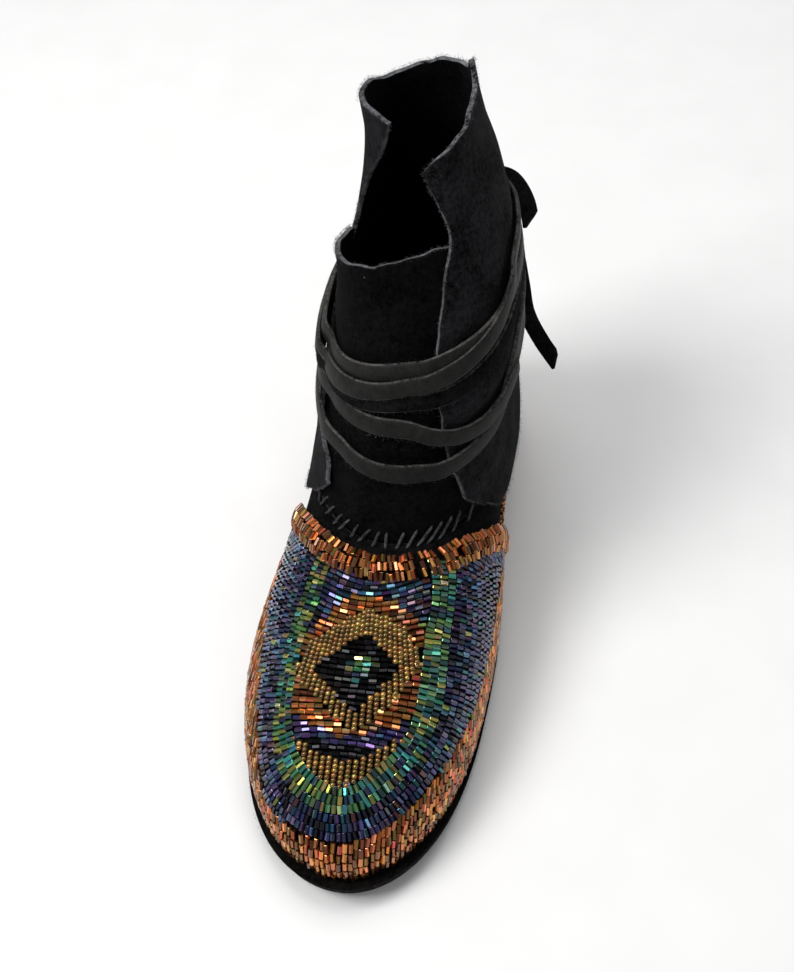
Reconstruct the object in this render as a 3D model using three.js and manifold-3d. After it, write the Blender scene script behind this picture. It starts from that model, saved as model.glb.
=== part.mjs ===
// A soft-leather ankle boot with a beaded vamp, a wrap-around shaft and a flat tie wound round the ankle.
// Millimetres. X runs across the foot with the inner side positive, Y from toe to heel, Z up from the floor.
import * as THREE from 'three';
import { mergeVertices } from 'three/addons/utils/BufferGeometryUtils.js';
import Module from 'manifold-3d';

// Driving dimensions
const SOLE_LENGTH = 260;
const SOLE_INSET_BELOW = 1.2; // bottom edge drawn in from the outline
const TOE_SPRING = 6; // rise of the toe tip
const SPRING_LENGTH = 64; // toe tip to where the sole meets the floor
const SOLE_THICK_BALL = 6;
const SOLE_THICK_HEEL = 9;
const ARCH = { start: 112, end: 192, rise: 2 }; // relief under the waist, distances from the toe tip
const TOE_ROUND = { length: 95, power: 2.6 };
const HEEL_ROUND = { length: 36, power: 2.3 };
const FOOTBED_INSET = 8.5; // outline of the sole to the edge of the insole
const UPPER_WALL = 2.2;
const TONGUE_WALL = 2;
const SHAFT_WALL = 2;
const INSOLE_THICK = 3;
const SEAT = 0.3; // clearance of flat seats
const LAYER_GAP = 0.6; // nominal clearance between curved layers; their facets narrow it to about 0.3
const TIE_GAP = 0.8; // the same for the wound tie, which has longer facets
const BEAD_HEIGHT = 1.6; // thickness of the flat bead work
const ROLL = { halfWidth: 5.2, height: 3, fullness: 0.8 };
const THONG = { width: 6.5, thick: 2 };
const CORD_FILL = 0.54; // radius of a free end's section as a share of the thong's size
const SOLE_SIDE = { low: 0.3, high: 0.8 }; // upright part of the sole's edge, as shares of its thickness
const WALL_DRIFT = 10; // steadies the wall's direction where the topline stands straight over the sole
const WALL_CROWD = 1.15; // draws the rows of the upper together low on the wall
const FLAP_SPAN = { low: 76, high: 190 }; // heights between which the flaps' edges are read for the tie
const TIE_RAMP = { degrees: 14, lead: 1.3 }; // how the tie climbs onto a flap ahead of the flap's edge
const MIDDLE_SHIFT = 2.2; // brings the middle of the whole boot over the origin

// Steps for taking directions off the surfaces, and the search for a height on the wall
const PROBE = { turn: 1.5, height: 1.5, level: 0.004, loop: 0.004, roll: 0.02, tie: 2 };
const WALL_SEARCH = { from: 0.3, passes: 24 };

// Facets
const SOLE_STEPS = 26;
const UPPER_MESH = { columns: 52, rows: 11 };
const TONGUE_MESH = { columns: 22, rows: 9 };
const SHAFT_MESH = { columns: 40, rows: 12 };
const RIM_ROWS = 3;
const FIELD_MESH = { columns: 24, rows: 8 };
const ROLL_STEPS = 32;
const ROLL_ARCH = [0, 36, 72, 108, 144, 180]; // angles over the roll's section
const TURN_STEP = 12; // degrees between sections of the tie
const TURN_OVERLAP = 5; // degrees by which each turn of the tie runs into the next
const KNOT_MESH = { around: 12, rows: 8 };
const CORD_MESH = { sides: 8, steps: 9 };

// Outsole half widths before the ends are rounded, by distance from the toe tip.
const SOLE_WIDTHS = [
  { at: 0, outer: 47.5, inner: 42 },
  { at: 70, outer: 49.5, inner: 42 },
  { at: 100, outer: 47.5, inner: 42.5 },
  { at: 160, outer: 37.5, inner: 36 },
  { at: 222, outer: 34, inner: 33.5 },
  { at: 260, outer: 33, inner: 33 },
];

// Where each turn round the ankle, in degrees from the front, lands as a share of the way from toe to heel.
const FAN = [
  { turn: 0, share: 0 },
  { turn: 15, share: 0.15 },
  { turn: 38, share: 0.33 },
  { turn: 58, share: 0.45 },
  { turn: 80, share: 0.56 },
  { turn: 105, share: 0.68 },
  { turn: 135, share: 0.82 },
  { turn: 160, share: 0.93 },
  { turn: 180, share: 1 },
];

// Wall of the upper by turn: inset of its foot from the edge of the sole, topline height, lean and rise of the
// foot of the wall, and reach and pitch of its top.
const WALL = [
  { turn: 0, inset: 5.5, top: 67, lean: 4.5, rise: 27, reach: 58, pitch: 20 },
  { turn: 15, inset: 5, top: 67, lean: 4.5, rise: 27, reach: 54, pitch: 21 },
  { turn: 38, inset: 3.2, top: 65, lean: 5, rise: 27, reach: 34, pitch: 30 },
  { turn: 58, inset: 2.8, top: 60, lean: 4.5, rise: 25, reach: 20, pitch: 50 },
  { turn: 80, inset: 2.8, top: 56, lean: 4, rise: 20, reach: 16, pitch: 78 },
  { turn: 120, inset: 2.8, top: 57, lean: 4, rise: 18, reach: 16, pitch: 86 },
  { turn: 180, inset: 3.2, top: 63, lean: 4, rise: 20, reach: 20, pitch: 86 },
];

// Sections of the ankle by height: middle, half width, front, back, and how square the section is.
const ANKLE = [
  { height: 40, middle: 1, halfWidth: 40, front: -34, back: 121, square: 2.2 },
  { height: 66, middle: 3, halfWidth: 35.5, front: -21, back: 117, square: 2.2 },
  { height: 95, middle: 6, halfWidth: 33, front: -6, back: 114, square: 2.2 },
  { height: 125, middle: 8.5, halfWidth: 30.5, front: 11, back: 110, square: 2.2 },
  { height: 158, middle: 9, halfWidth: 25.5, front: 28, back: 106, square: 2.3 },
  { height: 175, middle: 8.3, halfWidth: 21, front: 38, back: 103, square: 2.5 },
  { height: 200, middle: 7.5, halfWidth: 17, front: 47, back: 100, square: 2.7 },
];

// Side edges of the tongue by height, degrees either side of the front, with the slack on its outer side,
// and its top edge by angle.
const TONGUE_SIDES = [
  { height: 54, right: 62, left: 62, slack: 0 },
  { height: 100, right: 60, left: 82, slack: 0 },
  { height: 126, right: 58, left: 93, slack: 0 },
  { height: 160, right: 56, left: 100, slack: 4 },
];
const TONGUE_SLACK = { middle: -62, half: 40 };
const TONGUE_TOP = [
  { angle: -100, height: 136 },
  { angle: -86, height: 142 },
  { angle: -70, height: 147 },
  { angle: -46, height: 152 },
  { angle: -12, height: 158 },
  { angle: 24, height: 162 },
  { angle: 60, height: 160 },
];

// Front edges of the shaft's flaps by share of its height: degrees from the front, and how far each tucks
// inward.
const FLAPS = [
  { rise: 0, right: 40, left: 37, tuckRight: 0, tuckLeft: 0 },
  { rise: 0.15, right: 31, left: 50, tuckRight: 0, tuckLeft: 0 },
  { rise: 0.3, right: 25, left: 70, tuckRight: 0, tuckLeft: 0 },
  { rise: 0.48, right: 22, left: 92, tuckRight: 0, tuckLeft: 0 },
  { rise: 0.65, right: 27, left: 105, tuckRight: 0, tuckLeft: 0 },
  { rise: 0.8, right: 35, left: 98, tuckRight: 0, tuckLeft: 2 },
  { rise: 0.9, right: 28, left: 84, tuckRight: 2, tuckLeft: 5 },
  { rise: 1, right: 18, left: 66, tuckRight: 4, tuckLeft: 9 },
];
const TUCK_SHARE = 0.17; // part of the shaft's girth over which a flap tucks inward

// Lower edge of the shaft, by turn from the front, and its upper edge right round.
const SHAFT_LOW = [
  { turn: 36, height: 79 },
  { turn: 45, height: 71 },
  { turn: 55, height: 62 },
  { turn: 66, height: 52 },
  { turn: 80, height: 47 },
  { turn: 180, height: 52 },
];
const SHAFT_HIGH = [
  { turn: 16, height: 187 },
  { turn: 60, height: 190 },
  { turn: 105, height: 191 },
  { turn: 122, height: 195 },
  { turn: 138, height: 188 },
  { turn: 180, height: 185 },
  { turn: 215, height: 182 },
  { turn: 245, height: 187 },
  { turn: 296, height: 190 },
];

// Bead work: rim height by turn, centre line of the roll, and the upper edge of the vamp panel below the
// topline.
const RIM_HEIGHT = [
  { turn: 0, height: 18 },
  { turn: 15, height: 19.5 },
  { turn: 27, height: 24 },
  { turn: 40, height: 31 },
  { turn: 52, height: 35 },
  { turn: 59, height: 31 },
  { turn: 65, height: 23.5 },
  { turn: 72, height: 18 },
  { turn: 84, height: 14 },
  { turn: 180, height: 14 },
];
const RIM_FOOT = 1.2; // clearance of the rim above the sole
const ROLL_LINE = [
  { along: 0, turn: 0, drop: 9.8 },
  { along: 0.35, turn: 28, drop: 9.8 },
  { along: 0.55, turn: 43, drop: 11 },
  { along: 0.72, turn: 55, drop: 14 },
  { along: 0.87, turn: 65, drop: 21 },
  { along: 1, turn: 70, drop: 29 },
];
const FIELD_EDGE = [
  { turn: 0, drop: 16 },
  { turn: 28, drop: 16 },
  { turn: 43, drop: 18 },
  { turn: 52, drop: 21 },
  { turn: 58, drop: 25 },
];
const FIELD_END = 58;

// Heights of the wound tie's middle: each turn runs from the back by the outer side, front and inner side.
const TURNS = [
  { back: 117, left: 98, front: 92.5, flank: 92, right: 107 },
  { back: 110, left: 104, front: 107.5, flank: 98, right: 98 },
  { back: 102, left: 106, front: 115.5, flank: 118, right: 121 },
  { back: 121, left: 109.5, front: 120.5, flank: 128, right: 136 },
  { back: 131, left: 114, front: 125.5, flank: 139, right: 147 },
];
const TURN_STATIONS = { back: 0, left: 90, front: 180, flank: 235, right: 270 };
const LAST_BACK = 128;

// Free ends of the tie, chosen by eye: points from the knot outward.
const KNOT_CENTRE = [17.6, 119.4, 122];
const KNOT_RADII = [6, 4.2, 5.5];
const LONG_END = [
  [21.4, 118.9, 117.4], [29.5, 114.2, 107], [35, 106.3, 97], [38.5, 97.7, 86],
  [41.2, 91.3, 76], [47, 87.5, 65], [54.5, 84, 54.5],
];
const SHORT_END = [
  [24.7, 119.4, 123.6], [31.6, 113.4, 127.5], [37.2, 104.7, 130], [41.7, 95.5, 129.5], [44.2, 88, 125],
];

// Cubic through the rows of a table, without overshoot. Flat ends keep a mirrored table smooth at its middle.
function along(rows, from, to, flatEnds = false) {
  const xs = rows.map((row) => row[from]);
  const ys = rows.map((row) => row[to]);
  const slopes = xs.slice(1).map((x, i) => (ys[i + 1] - ys[i]) / (x - xs[i]));
  const last = xs.length - 1;
  const tangents = xs.map((x, i) => {
    if (i === 0) return flatEnds ? 0 : slopes[0];
    if (i === last) return flatEnds ? 0 : slopes[last - 1];
    const before = slopes[i - 1];
    const after = slopes[i];
    return before * after <= 0 ? 0 : (2 * before * after) / (before + after);
  });
  return (x) => {
    if (x <= xs[0]) return ys[0];
    if (x >= xs[last]) return ys[last];
    const i = xs.findIndex((edge) => edge > x) - 1;
    const span = xs[i + 1] - xs[i];
    const s = (x - xs[i]) / span;
    const stay = (1 + 2 * s) * (1 - s) ** 2;
    const leave = s * (1 - s) ** 2 * span * tangents[i];
    const reach = s * s * (3 - 2 * s);
    const arrive = s * s * (s - 1) * span * tangents[i + 1];
    return stay * ys[i] + leave + reach * ys[i + 1] + arrive;
  };
}

const UP = new THREE.Vector3(0, 0, 1);
const mix = (a, b, share) => a + (b - a) * share;
const smooth = (x) => THREE.MathUtils.smoothstep(x, 0, 1);
const wrapTurn = (turn) => THREE.MathUtils.euclideanModulo(turn, 360);
const foldTurn = (turn) => Math.min(wrapTurn(turn), 360 - wrapTurn(turn));

// Outline of the sole, by share of the way from toe to heel, on the inner side or the outer side
const widthOuter = along(SOLE_WIDTHS, 'at', 'outer');
const widthInner = along(SOLE_WIDTHS, 'at', 'inner');

function roundedEnd(distance, end) {
  if (distance >= end.length) return 1;
  return Math.sqrt(Math.max(0, 1 - (1 - distance / end.length) ** end.power));
}

function outline(share, side) {
  const fromToe = (SOLE_LENGTH / 2) * (1 - Math.cos(Math.PI * share));
  const width = side > 0 ? widthInner(fromToe) : widthOuter(fromToe);
  const ends = roundedEnd(fromToe, TOE_ROUND) * roundedEnd(SOLE_LENGTH - fromToe, HEEL_ROUND);
  return new THREE.Vector2(side * width * ends, fromToe - SOLE_LENGTH / 2);
}

// The outline as one loop: position 0 is the toe, 1 the heel, and 1 to 2 comes back along the outer side.
function loopPoint(position) {
  const place = THREE.MathUtils.euclideanModulo(position, 2);
  return place <= 1 ? outline(place, 1) : outline(2 - place, -1);
}

function loopNormal(position) {
  const run = loopPoint(position + PROBE.loop).sub(loopPoint(position - PROBE.loop));
  return new THREE.Vector2(run.y, -run.x).normalize();
}

function insetLoop(position, inset) {
  return loopPoint(position).addScaledVector(loopNormal(position), -inset);
}

// Heights of the sole's two faces along its length
function soleBottom(y) {
  const fromToe = y + SOLE_LENGTH / 2;
  const spring = TOE_SPRING * Math.max(0, 1 - fromToe / SPRING_LENGTH) ** 2;
  const inArch = THREE.MathUtils.clamp((fromToe - ARCH.start) / (ARCH.end - ARCH.start), 0, 1);
  return spring + ARCH.rise * Math.sin(Math.PI * inArch) ** 2;
}

function soleTop(y) {
  const fromToe = y + SOLE_LENGTH / 2;
  const spring = TOE_SPRING * Math.max(0, 1 - fromToe / SPRING_LENGTH) ** 2;
  const toHeel = smooth((fromToe - ARCH.start) / (ARCH.end - ARCH.start));
  return spring + mix(SOLE_THICK_BALL, SOLE_THICK_HEEL, toHeel);
}

// Ankle surface, by turn from the front through the inner side, and height
const ankleRow = Object.fromEntries(
  ['middle', 'halfWidth', 'front', 'back', 'square'].map((key) => [key, along(ANKLE, 'height', key)]),
);

function ankle(turn, height) {
  const angle = THREE.MathUtils.degToRad(turn);
  const across = Math.sin(angle);
  const forward = Math.cos(angle);
  const power = ankleRow.square(height);
  const round = (Math.abs(across) ** power + Math.abs(forward) ** power) ** (-1 / power);
  const front = ankleRow.front(height);
  const back = ankleRow.back(height);
  return new THREE.Vector3(
    ankleRow.middle(height) + ankleRow.halfWidth(height) * round * across,
    (front + back) / 2 - ((back - front) / 2) * round * forward,
    height,
  );
}

// Surface of the upper: a wall from the sole (level 0) to the topline (level 1), by turn
const shareAt = along(FAN, 'turn', 'share');
const turnAt = along(FAN, 'share', 'turn');
const wall = Object.fromEntries(
  ['inset', 'top', 'lean', 'rise', 'reach', 'pitch'].map((key) => [key, along(WALL, 'turn', key, true)]),
);

function loopPosition(turn) {
  const place = wrapTurn(turn);
  return place <= 180 ? shareAt(place) : 2 - shareAt(360 - place);
}

function wallCurve(turn) {
  const fold = foldTurn(turn);
  const position = loopPosition(turn);
  const foot = insetLoop(position, wall.inset(fold));
  const out = loopNormal(position);
  const base = new THREE.Vector3(foot.x, foot.y, soleTop(foot.y) + SEAT);
  const top = ankle(turn, wall.top(fold));
  const low = base.clone().addScaledVector(UP, wall.rise(fold));
  low.x += out.x * wall.lean(fold);
  low.y += out.y * wall.lean(fold);
  const toward = new THREE.Vector3(out.x, out.y, 0).multiplyScalar(WALL_DRIFT);
  toward.x += base.x - top.x;
  toward.y += base.y - top.y;
  toward.normalize();
  const pitch = THREE.MathUtils.degToRad(wall.pitch(fold));
  const high = top.clone().addScaledVector(toward, wall.reach(fold) * Math.cos(pitch));
  high.addScaledVector(UP, -wall.reach(fold) * Math.sin(pitch));
  return new THREE.CubicBezierCurve3(base, low, high, top);
}

function upperPoint(turn, level) {
  return wallCurve(turn).getPoint(level);
}

// Level on the wall at a distance up from the sole, or down from the topline
function levelAbove(turn, distance) {
  const curve = wallCurve(turn);
  return curve.getUtoTmapping(0, distance);
}

function levelBelow(turn, drop) {
  const curve = wallCurve(turn);
  return curve.getUtoTmapping(0, curve.getLength() - drop);
}

// Leg surface: the ankle above the topline and the wall of the upper below it
function legPoint(turn, height) {
  if (height >= wall.top(foldTurn(turn))) return ankle(turn, height);
  const curve = wallCurve(turn);
  let low = WALL_SEARCH.from;
  let high = 1;
  for (let pass = 0; pass < WALL_SEARCH.passes; pass += 1) {
    const middle = (low + high) / 2;
    if (curve.getPoint(middle).z < height) low = middle;
    else high = middle;
  }
  return curve.getPoint(high);
}

// Outward normal of a surface that is given by turn and a second measure that grows upward
function outward(surface, turn, level, levelStep) {
  const round = surface(turn + PROBE.turn, level).sub(surface(turn - PROBE.turn, level));
  const rise = surface(turn, level + levelStep).sub(surface(turn, level - levelStep));
  return round.cross(rise).normalize();
}

function upperAt(turn, level, offset) {
  const inside = THREE.MathUtils.clamp(level, PROBE.level, 1 - PROBE.level);
  return upperPoint(turn, level).addScaledVector(outward(upperPoint, turn, inside, PROBE.level), offset);
}

function legAt(turn, height, offset) {
  return legPoint(turn, height).addScaledVector(outward(legPoint, turn, height, PROBE.height), offset);
}

// Geometry from a list of points and triangles, with its faces pointing out
function closedGeometry(points, triangles) {
  let volume = 0;
  for (const [a, b, c] of triangles) {
    volume += points[a].dot(points[b].clone().cross(points[c]));
  }
  const faces = volume > 0 ? triangles : triangles.map(([a, b, c]) => [a, c, b]);
  const geometry = new THREE.BufferGeometry();
  const positions = points.flatMap((point) => point.toArray());
  geometry.setAttribute('position', new THREE.Float32BufferAttribute(positions, 3));
  geometry.setIndex(faces.flat());
  geometry.computeVertexNormals();
  return geometry;
}

// A sheet with thickness. at(column share, row share, face) gives its points, with face 0 inside and 1 outside.
function sheetGeometry({ at, columns, rows, closed = false }) {
  const wide = closed ? columns : columns + 1;
  const points = [];
  for (const face of [0, 1]) {
    for (let row = 0; row <= rows; row += 1) {
      for (let column = 0; column < wide; column += 1) {
        points.push(at(column / columns, row / rows, face));
      }
    }
  }
  const spot = (column, row, face) => (face * (rows + 1) + row) * wide + (column % wide);
  const triangles = [];
  const quad = (a, b, c, d) => triangles.push([a, b, c], [a, c, d]);
  for (let column = 0; column < columns; column += 1) {
    const next = column + 1;
    for (let row = 0; row < rows; row += 1) {
      const up = row + 1;
      quad(spot(column, row, 1), spot(next, row, 1), spot(next, up, 1), spot(column, up, 1));
      quad(spot(column, row, 0), spot(column, up, 0), spot(next, up, 0), spot(next, row, 0));
    }
    quad(spot(column, 0, 0), spot(next, 0, 0), spot(next, 0, 1), spot(column, 0, 1));
    quad(spot(column, rows, 0), spot(column, rows, 1), spot(next, rows, 1), spot(next, rows, 0));
  }
  if (!closed) {
    for (let row = 0; row < rows; row += 1) {
      const up = row + 1;
      quad(spot(0, row, 0), spot(0, row, 1), spot(0, up, 1), spot(0, up, 0));
      quad(spot(columns, row, 0), spot(columns, up, 0), spot(columns, up, 1), spot(columns, row, 1));
    }
  }
  return closedGeometry(points, triangles);
}

// A bar through sections that all have the same number of points
function barGeometry(sections) {
  const sides = sections[0].length;
  const points = sections.flat();
  const triangles = [];
  for (let step = 0; step + 1 < sections.length; step += 1) {
    for (let side = 0; side < sides; side += 1) {
      const here = step * sides + side;
      const beside = step * sides + ((side + 1) % sides);
      triangles.push([here, beside, beside + sides], [here, beside + sides, here + sides]);
    }
  }
  const end = (sections.length - 1) * sides;
  for (let side = 1; side + 1 < sides; side += 1) {
    triangles.push([0, side + 1, side], [end, end + side, end + side + 1]);
  }
  return closedGeometry(points, triangles);
}

// A flat-bottomed slab inside loops of the outline: each ring gives its inset and its height along the foot.
function slabGeometry(rings, perSide) {
  const around = perSide * 2;
  const points = [];
  for (const { inset, height } of rings) {
    for (let i = 0; i < around; i += 1) {
      const spot = insetLoop(i / perSide, inset);
      points.push(new THREE.Vector3(spot.x, spot.y, height(spot.y)));
    }
  }
  const triangles = [];
  for (let ring = 0; ring + 1 < rings.length; ring += 1) {
    for (let i = 0; i < around; i += 1) {
      const here = ring * around + i;
      const next = ring * around + ((i + 1) % around);
      triangles.push([here, next, next + around], [here, next + around, here + around]);
    }
  }
  const top = (rings.length - 1) * around;
  for (let i = 0; i < perSide; i += 1) {
    const outer = (around - i) % around;
    const beyond = around - i - 1;
    if (i > 0) {
      triangles.push([i, outer, i + 1], [top + i, top + i + 1, top + outer]);
    }
    if (i < perSide - 1) {
      triangles.push([i + 1, outer, beyond], [top + i + 1, top + beyond, top + outer]);
    }
  }
  return closedGeometry(points, triangles);
}

const leather = (color) => new THREE.MeshStandardMaterial({ color, roughness: 0.9, metalness: 0 });
const beads = (color) => new THREE.MeshStandardMaterial({ color, roughness: 0.2, metalness: 0.5 });

const boot = new THREE.Group();
boot.position.x = MIDDLE_SHIFT;
function add(name, geometry, material) {
  const mesh = new THREE.Mesh(geometry, material);
  mesh.name = name;
  boot.add(mesh);
}

// Sole and footbed
const soleEdge = (share) => (y) => mix(soleBottom(y), soleTop(y), share);
add('outsole', slabGeometry([
  { inset: SOLE_INSET_BELOW, height: soleBottom },
  { inset: 0, height: soleEdge(SOLE_SIDE.low) },
  { inset: 0, height: soleEdge(SOLE_SIDE.high) },
  { inset: SOLE_INSET_BELOW / 2, height: soleTop },
], SOLE_STEPS), leather(0x141313));

add('insole', slabGeometry([
  { inset: FOOTBED_INSET, height: (y) => soleTop(y) + SEAT },
  { inset: FOOTBED_INSET, height: (y) => soleTop(y) + SEAT + INSOLE_THICK },
], SOLE_STEPS), leather(0x2a2522));

// Upper: columns are spaced evenly along the sole, rows closer together low on the wall, where it bends most
const columnTurn = (share) => {
  const position = share * 2;
  return position <= 1 ? turnAt(position) : 360 - turnAt(2 - position);
};
add('upper', sheetGeometry({
  ...UPPER_MESH,
  closed: true,
  at: (column, row, face) => upperAt(columnTurn(column), row ** WALL_CROWD, face ? 0 : -UPPER_WALL),
}), leather(0x1b1a1b));

// Tongue: stands up from the throat seam
const tongueRight = along(TONGUE_SIDES, 'height', 'right');
const tongueLeft = along(TONGUE_SIDES, 'height', 'left');
const tongueTop = along(TONGUE_TOP, 'angle', 'height');
const tongueSlack = along(TONGUE_SIDES, 'height', 'slack');
function tongueAt(column, row, face) {
  const nominal = mix(TONGUE_SIDES.at(0).height, TONGUE_SIDES.at(-1).height, row);
  const angle = mix(-tongueLeft(nominal), tongueRight(nominal), column);
  const seam = wall.top(foldTurn(angle)) + LAYER_GAP;
  const height = mix(seam, tongueTop(angle), row);
  const fromSlack = THREE.MathUtils.clamp((angle - TONGUE_SLACK.middle) / TONGUE_SLACK.half, -1, 1);
  const slack = tongueSlack(height) * Math.cos((fromSlack * Math.PI) / 2) ** 2;
  const offset = slack - (face ? 0 : TONGUE_WALL);
  return ankle(angle, height).addScaledVector(outward(ankle, angle, height, PROBE.height), offset);
}
add('tongue', sheetGeometry({ ...TONGUE_MESH, at: tongueAt }), leather(0x121112));

// Shaft: from the inner flap's front edge round the back to the outer flap's front edge
const flapRight = along(FLAPS, 'rise', 'right');
const flapLeft = along(FLAPS, 'rise', 'left');
const tuckRight = along(FLAPS, 'rise', 'tuckRight');
const tuckLeft = along(FLAPS, 'rise', 'tuckLeft');
const shaftLow = along(SHAFT_LOW, 'turn', 'height');
const shaftHigh = along(SHAFT_HIGH, 'turn', 'height');
function shaftAt(column, row, face) {
  const turn = mix(flapRight(row), 360 - flapLeft(row), column);
  const height = mix(shaftLow(foldTurn(turn)), shaftHigh(turn), row);
  const nearRight = Math.max(0, 1 - column / TUCK_SHARE) ** 2;
  const nearLeft = Math.max(0, 1 - (1 - column) / TUCK_SHARE) ** 2;
  const tuck = nearRight * tuckRight(row) + nearLeft * tuckLeft(row);
  return legAt(turn, height, LAYER_GAP + face * SHAFT_WALL - tuck);
}
add('shaft', sheetGeometry({ ...SHAFT_MESH, at: shaftAt }), leather(0x1d1d1e));

// Bead work over the upper
const rimHeight = along(RIM_HEIGHT, 'turn', 'height', true);
const beadOffset = (face) => LAYER_GAP + face * BEAD_HEIGHT;
add('bead_rim', sheetGeometry({
  columns: UPPER_MESH.columns,
  rows: RIM_ROWS,
  closed: true,
  at: (column, row, face) => {
    const turn = columnTurn(column);
    const climb = mix(RIM_FOOT, rimHeight(foldTurn(turn)), row);
    return upperAt(turn, levelAbove(turn, climb), beadOffset(face));
  },
}), beads(0x8a4a22));

const fieldDrop = along(FIELD_EDGE, 'turn', 'drop', true);
add('bead_field', sheetGeometry({
  ...FIELD_MESH,
  at: (column, row, face) => {
    const turn = mix(-FIELD_END, FIELD_END, column);
    const fold = foldTurn(turn);
    const low = levelAbove(turn, rimHeight(fold) + LAYER_GAP);
    const high = levelBelow(turn, fieldDrop(fold));
    return upperAt(turn, mix(low, high, row), beadOffset(face));
  },
}), beads(0x27304f));

const rollTurn = along(ROLL_LINE, 'along', 'turn');
const rollDrop = along(ROLL_LINE, 'along', 'drop', true);
function rollSpot(position, offset) {
  const turn = Math.sign(position) * rollTurn(Math.abs(position));
  return upperAt(turn, levelBelow(turn, rollDrop(Math.abs(position))), offset);
}
const rollSections = Array.from({ length: ROLL_STEPS + 1 }, (_, step) => {
  const position = mix(-1, 1, step / ROLL_STEPS);
  const seat = rollSpot(position, LAYER_GAP);
  const lift = rollSpot(position, 1 + LAYER_GAP).sub(seat).normalize();
  const ahead = rollSpot(position + PROBE.roll, LAYER_GAP);
  const run = ahead.sub(rollSpot(position - PROBE.roll, LAYER_GAP)).normalize();
  const side = lift.clone().cross(run).normalize();
  return ROLL_ARCH.map((degrees) => {
    const angle = THREE.MathUtils.degToRad(degrees);
    const point = seat.clone().addScaledVector(side, ROLL.halfWidth * Math.cos(angle));
    return point.addScaledVector(lift, ROLL.height * Math.sin(angle) ** ROLL.fullness);
  });
});
add('bead_roll', barGeometry(rollSections), beads(0x9a5526));

// Tie: flat turns that lie on the tongue at the front and on the flaps elsewhere
const turnRows = TURNS.flatMap((heights, count) => Object.entries(TURN_STATIONS).map(
  ([station, angle]) => ({ angle: count * 360 + angle, height: heights[station] }),
));
turnRows.push({ angle: TURNS.length * 360, height: LAST_BACK });
const tieHeight = along(turnRows, 'angle', 'height');

function tieLift(turn, height) {
  const span = FLAP_SPAN.high - FLAP_SPAN.low;
  const rise = THREE.MathUtils.clamp((height - FLAP_SPAN.low) / span, 0, 1);
  const place = wrapTurn(turn);
  const signed = place > 180 ? place - 360 : place;
  const pastRight = (signed - flapRight(rise)) / TIE_RAMP.degrees + TIE_RAMP.lead;
  const pastLeft = (-signed - flapLeft(rise)) / TIE_RAMP.degrees + TIE_RAMP.lead;
  const onFlap = smooth(Math.max(pastRight, pastLeft));
  return TIE_GAP + onFlap * (LAYER_GAP + SHAFT_WALL);
}

function tieSection(angle) {
  const turn = 180 + angle;
  const height = tieHeight(angle);
  const lift = tieLift(turn, height);
  const seat = legAt(turn, height, lift);
  const out = outward(legPoint, turn, height, PROBE.height);
  const ahead = legAt(turn + PROBE.tie, tieHeight(angle + PROBE.tie), lift);
  const run = ahead.sub(legAt(turn - PROBE.tie, tieHeight(angle - PROBE.tie), lift));
  const side = out.clone().cross(run).normalize().multiplyScalar(THONG.width / 2);
  const back = out.clone().multiplyScalar(THONG.thick);
  return [
    seat.clone().sub(side),
    seat.clone().add(side),
    seat.clone().add(side).add(back),
    seat.clone().sub(side).add(back),
  ];
}

const wasm = await Module();
wasm.setup();

function toSolid(geometry) {
  const plain = geometry.clone();
  plain.deleteAttribute('normal');
  const merged = mergeVertices(plain);
  return new wasm.Manifold(new wasm.Mesh({
    numProp: 3,
    vertProperties: new Float32Array(merged.attributes.position.array),
    triVerts: new Uint32Array(merged.index.array),
  }));
}

function fromSolid(solid) {
  const mesh = solid.getMesh();
  const geometry = new THREE.BufferGeometry();
  geometry.setAttribute('position', new THREE.Float32BufferAttribute(mesh.vertProperties, 3));
  geometry.setIndex(Array.from(mesh.triVerts));
  geometry.computeVertexNormals();
  return geometry;
}

const tieTurns = TURNS.map((_, count) => {
  const sections = [];
  const start = count * 360 - (count > 0 ? TURN_OVERLAP : 0);
  const steps = 360 / TURN_STEP;
  for (let step = 0; step <= steps; step += 1) {
    sections.push(tieSection(mix(start, (count + 1) * 360, step / steps)));
  }
  return toSolid(barGeometry(sections));
});
const tieWound = tieTurns.reduce((joined, next) => joined.add(next));
add('wrap_thong', fromSolid(tieWound), leather(0x2b2624));

// Knot and free ends of the tie
const knot = new THREE.SphereGeometry(1, KNOT_MESH.around, KNOT_MESH.rows);
knot.scale(...KNOT_RADII);
knot.translate(...KNOT_CENTRE);
add('tie_knot', knot, leather(0x1f1c1b));

function flatCord(route) {
  const extrudePath = new THREE.CatmullRomCurve3(route.map((point) => new THREE.Vector3(...point)));
  const section = new THREE.Shape();
  for (let side = 0; side < CORD_MESH.sides; side += 1) {
    const angle = ((side + 0.5) / CORD_MESH.sides) * Math.PI * 2;
    const across = Math.sin(angle) * THONG.width * CORD_FILL;
    const through = Math.cos(angle) * THONG.thick * CORD_FILL;
    if (side === 0) section.moveTo(through, across);
    else section.lineTo(through, across);
  }
  section.closePath();
  return new THREE.ExtrudeGeometry(section, { steps: CORD_MESH.steps, bevelEnabled: false, extrudePath });
}
add('tie_end_long', flatCord(LONG_END), leather(0x1f1c1b));
add('tie_end_short', flatCord(SHORT_END), leather(0x1f1c1b));

export default boot;
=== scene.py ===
"""Looks of a soft-leather ankle boot with a beaded vamp, a wrap-around shaft and a wound tie.

Sizes are in millimetres in the boot's own frame and become metres when a mesh is written: X runs across
the foot with the inner side positive, Y from toe to heel, Z up from the floor.
"""
import logging
from dataclasses import dataclass, field
from enum import Enum
from typing import Callable, Sequence

import bpy
import numpy as np
from mathutils import Matrix, Vector


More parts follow.
